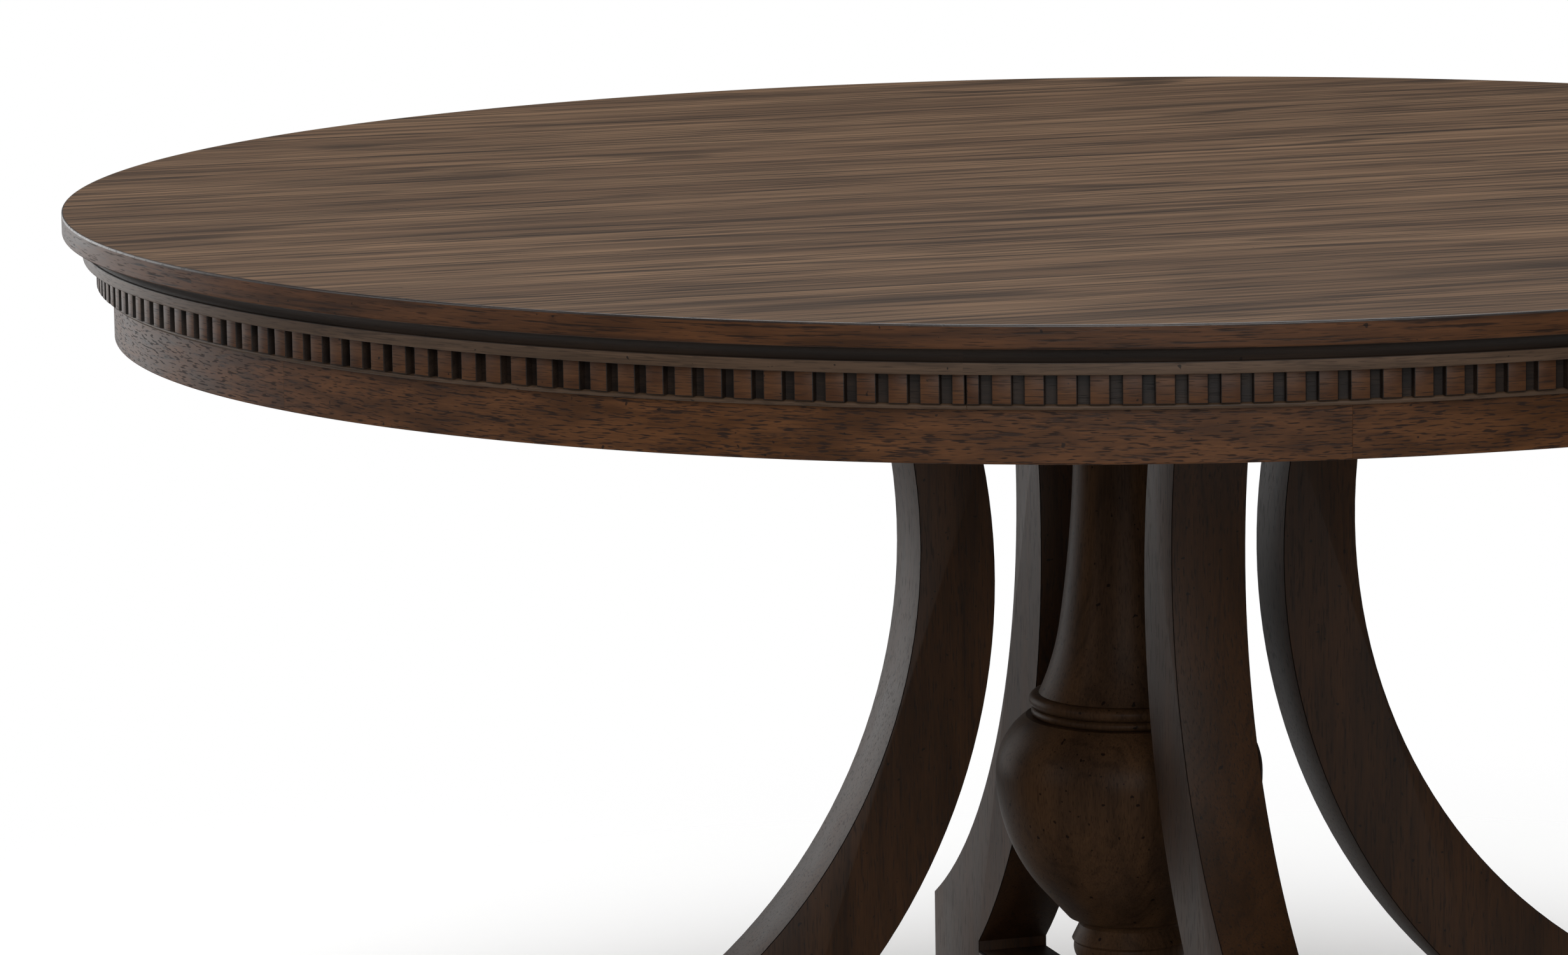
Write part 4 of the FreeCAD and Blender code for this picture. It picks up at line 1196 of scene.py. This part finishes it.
CAMERA_PLACE = Vector((-1.5475, -4.2657, 1.2809))
CAMERA_TURN = (80.8254, 0.9590, -16.9504)
CAMERA_LENS_MM = 145.07
CAMERA_SENSOR_MM = 36.0
CAMERA_REACH = 100.0
FLOOR_RADIUS = 6.0
FLOOR_STEPS = 96
FLOOR_FADE = (0.7, 1.7)  # distances from the axis where the floor starts to fade and is gone
WORLD_GLOW = 0.1
LIGHTS_AIM = Vector((0.0, 0.0, TOP * 0.8))


def lay_floor(scene):
    """Pale matt floor that fades into the white surroundings."""
    mesh = bmesh.new()
    bmesh.ops.create_circle(mesh, cap_ends=True, radius=FLOOR_RADIUS, segments=FLOOR_STEPS)
    data = bpy.data.meshes.new("studio_floor")
    mesh.to_mesh(data)
    mesh.free()
    floor = bpy.data.objects.new("studio_floor", data)
    scene.collection.objects.link(floor)
    material, tree, shader = new_material("studio floor paper")
    feed(tree, shader, {"Base Color": opaque(scene.table_colours.floor), "Roughness": 0.9})
    place = add(tree, "TexCoord", {}).outputs["Object"]
    distance = add(tree, "VectorMath", {0: place}, operation="LENGTH").outputs["Value"]
    start, end = FLOOR_FADE
    fade = add(tree, "MapRange", {"Value": distance, "From Min": start, "From Max": end},
               interpolation_type="SMOOTHSTEP").outputs["Result"]
    clear = add(tree, "BsdfTransparent", {}).outputs["BSDF"]
    mixed = add(tree, "MixShader", {0: fade, 1: shader.outputs["BSDF"], 2: clear})
    feed(tree, tree.nodes["Material Output"], {"Surface": mixed.outputs["Shader"]})
    data.materials.append(material)


def studio_point(right, forward, up):
    """Place given as the camera sees it, around the table's axis."""
    ahead = -CAMERA_PLACE.xy.normalized()
    return Vector((ahead.y * right + ahead.x * forward, -ahead.x * right + ahead.y * forward, up))


LIGHTS = (
    # name, right, forward, up, width, height, watts
    ("key softbox", -2.9, 2.1, 1.0, 2.6, 2.2, 46.0),
    ("overhead softbox", 0.0, 0.2, 3.2, 3.0, 3.0, 112.0),
    ("side softbox", -3.2, -1.2, 1.4, 1.8, 2.0, 26.0),
    ("front fill", 0.2, -4.4, 1.7, 3.2, 2.2, 118.0),
)


def hang_lights(scene):
    """Softboxes round the table, all aimed at its middle."""
    for name, right, forward, up, width, height, watts in LIGHTS:
        light = bpy.data.lights.new(name, "AREA")
        light.shape = "RECTANGLE"
        light.size = width
        light.size_y = height
        light.energy = watts
        lamp = bpy.data.objects.new(name, light)
        lamp.location = studio_point(right, forward, up)
        aim = LIGHTS_AIM - lamp.location
        lamp.rotation_euler = aim.to_track_quat("-Z", "Y").to_euler()
        scene.collection.objects.link(lamp)


def set_camera(scene):
    data = bpy.data.cameras.new("camera")
    data.sensor_width = CAMERA_SENSOR_MM
    data.lens = CAMERA_LENS_MM
    data.clip_end = CAMERA_REACH
    camera = bpy.data.objects.new("camera", data)
    camera.location = CAMERA_PLACE
    camera.rotation_euler = [math.radians(turn) for turn in CAMERA_TURN]
    scene.collection.objects.link(camera)
    scene.camera = camera


def light_surroundings(scene):
    """White behind the object, and a dim soft light from all round on it."""
    world = bpy.data.worlds.new("studio")
    world.use_nodes = True
    scene.world = world
    tree = world.node_tree
    seen = add(tree, "LightPath", {}).outputs["Is Camera Ray"]
    strength = add(tree, "MapRange", {"Value": seen, "To Min": WORLD_GLOW, "To Max": 1.0})
    white = opaque((1.0, 1.0, 1.0))
    feed(tree, tree.nodes["Background"], {"Color": white, "Strength": strength.outputs["Result"]})


OPERATORS = (
    TABLE_OT_top_veneer, TABLE_OT_lipping, TABLE_OT_cornice, TABLE_OT_dentils, TABLE_OT_beads,
    TABLE_OT_apron, TABLE_OT_legs, TABLE_OT_base_rails, TABLE_OT_column, TABLE_OT_hidden_timber,
    TABLE_OT_hardware, TABLE_OT_levelling_feet, TABLE_OT_stage,
)


class TABLE_PT_workshop(bpy.types.Panel):
    """Lists the table's pieces in the order in which they are made"""

    bl_idname = "TABLE_PT_workshop"
    bl_label = "Round Pedestal Table"
    bl_space_type = "VIEW_3D"
    bl_region_type = "UI"
    bl_category = "Table"

    def draw(self, context):
        for operator in OPERATORS:
            self.layout.operator(operator.bl_idname)


def register():
    for _, group in GROUPS:
        bpy.utils.register_class(group)
    for name, group in GROUPS:
        setattr(bpy.types.Scene, name, PointerProperty(type=group))
    for item in (*OPERATORS, TABLE_PT_workshop):
        bpy.utils.register_class(item)


def unregister():
    for item in (TABLE_PT_workshop, *reversed(OPERATORS)):
        bpy.utils.unregister_class(item)
    for name, group in reversed(GROUPS):
        delattr(bpy.types.Scene, name)
        bpy.utils.unregister_class(group)


def main():
    register()
    for operator in OPERATORS:
        getattr(bpy.ops.table, operator.bl_idname.partition(".")[2])()


if __name__ == "__main__":
    main()
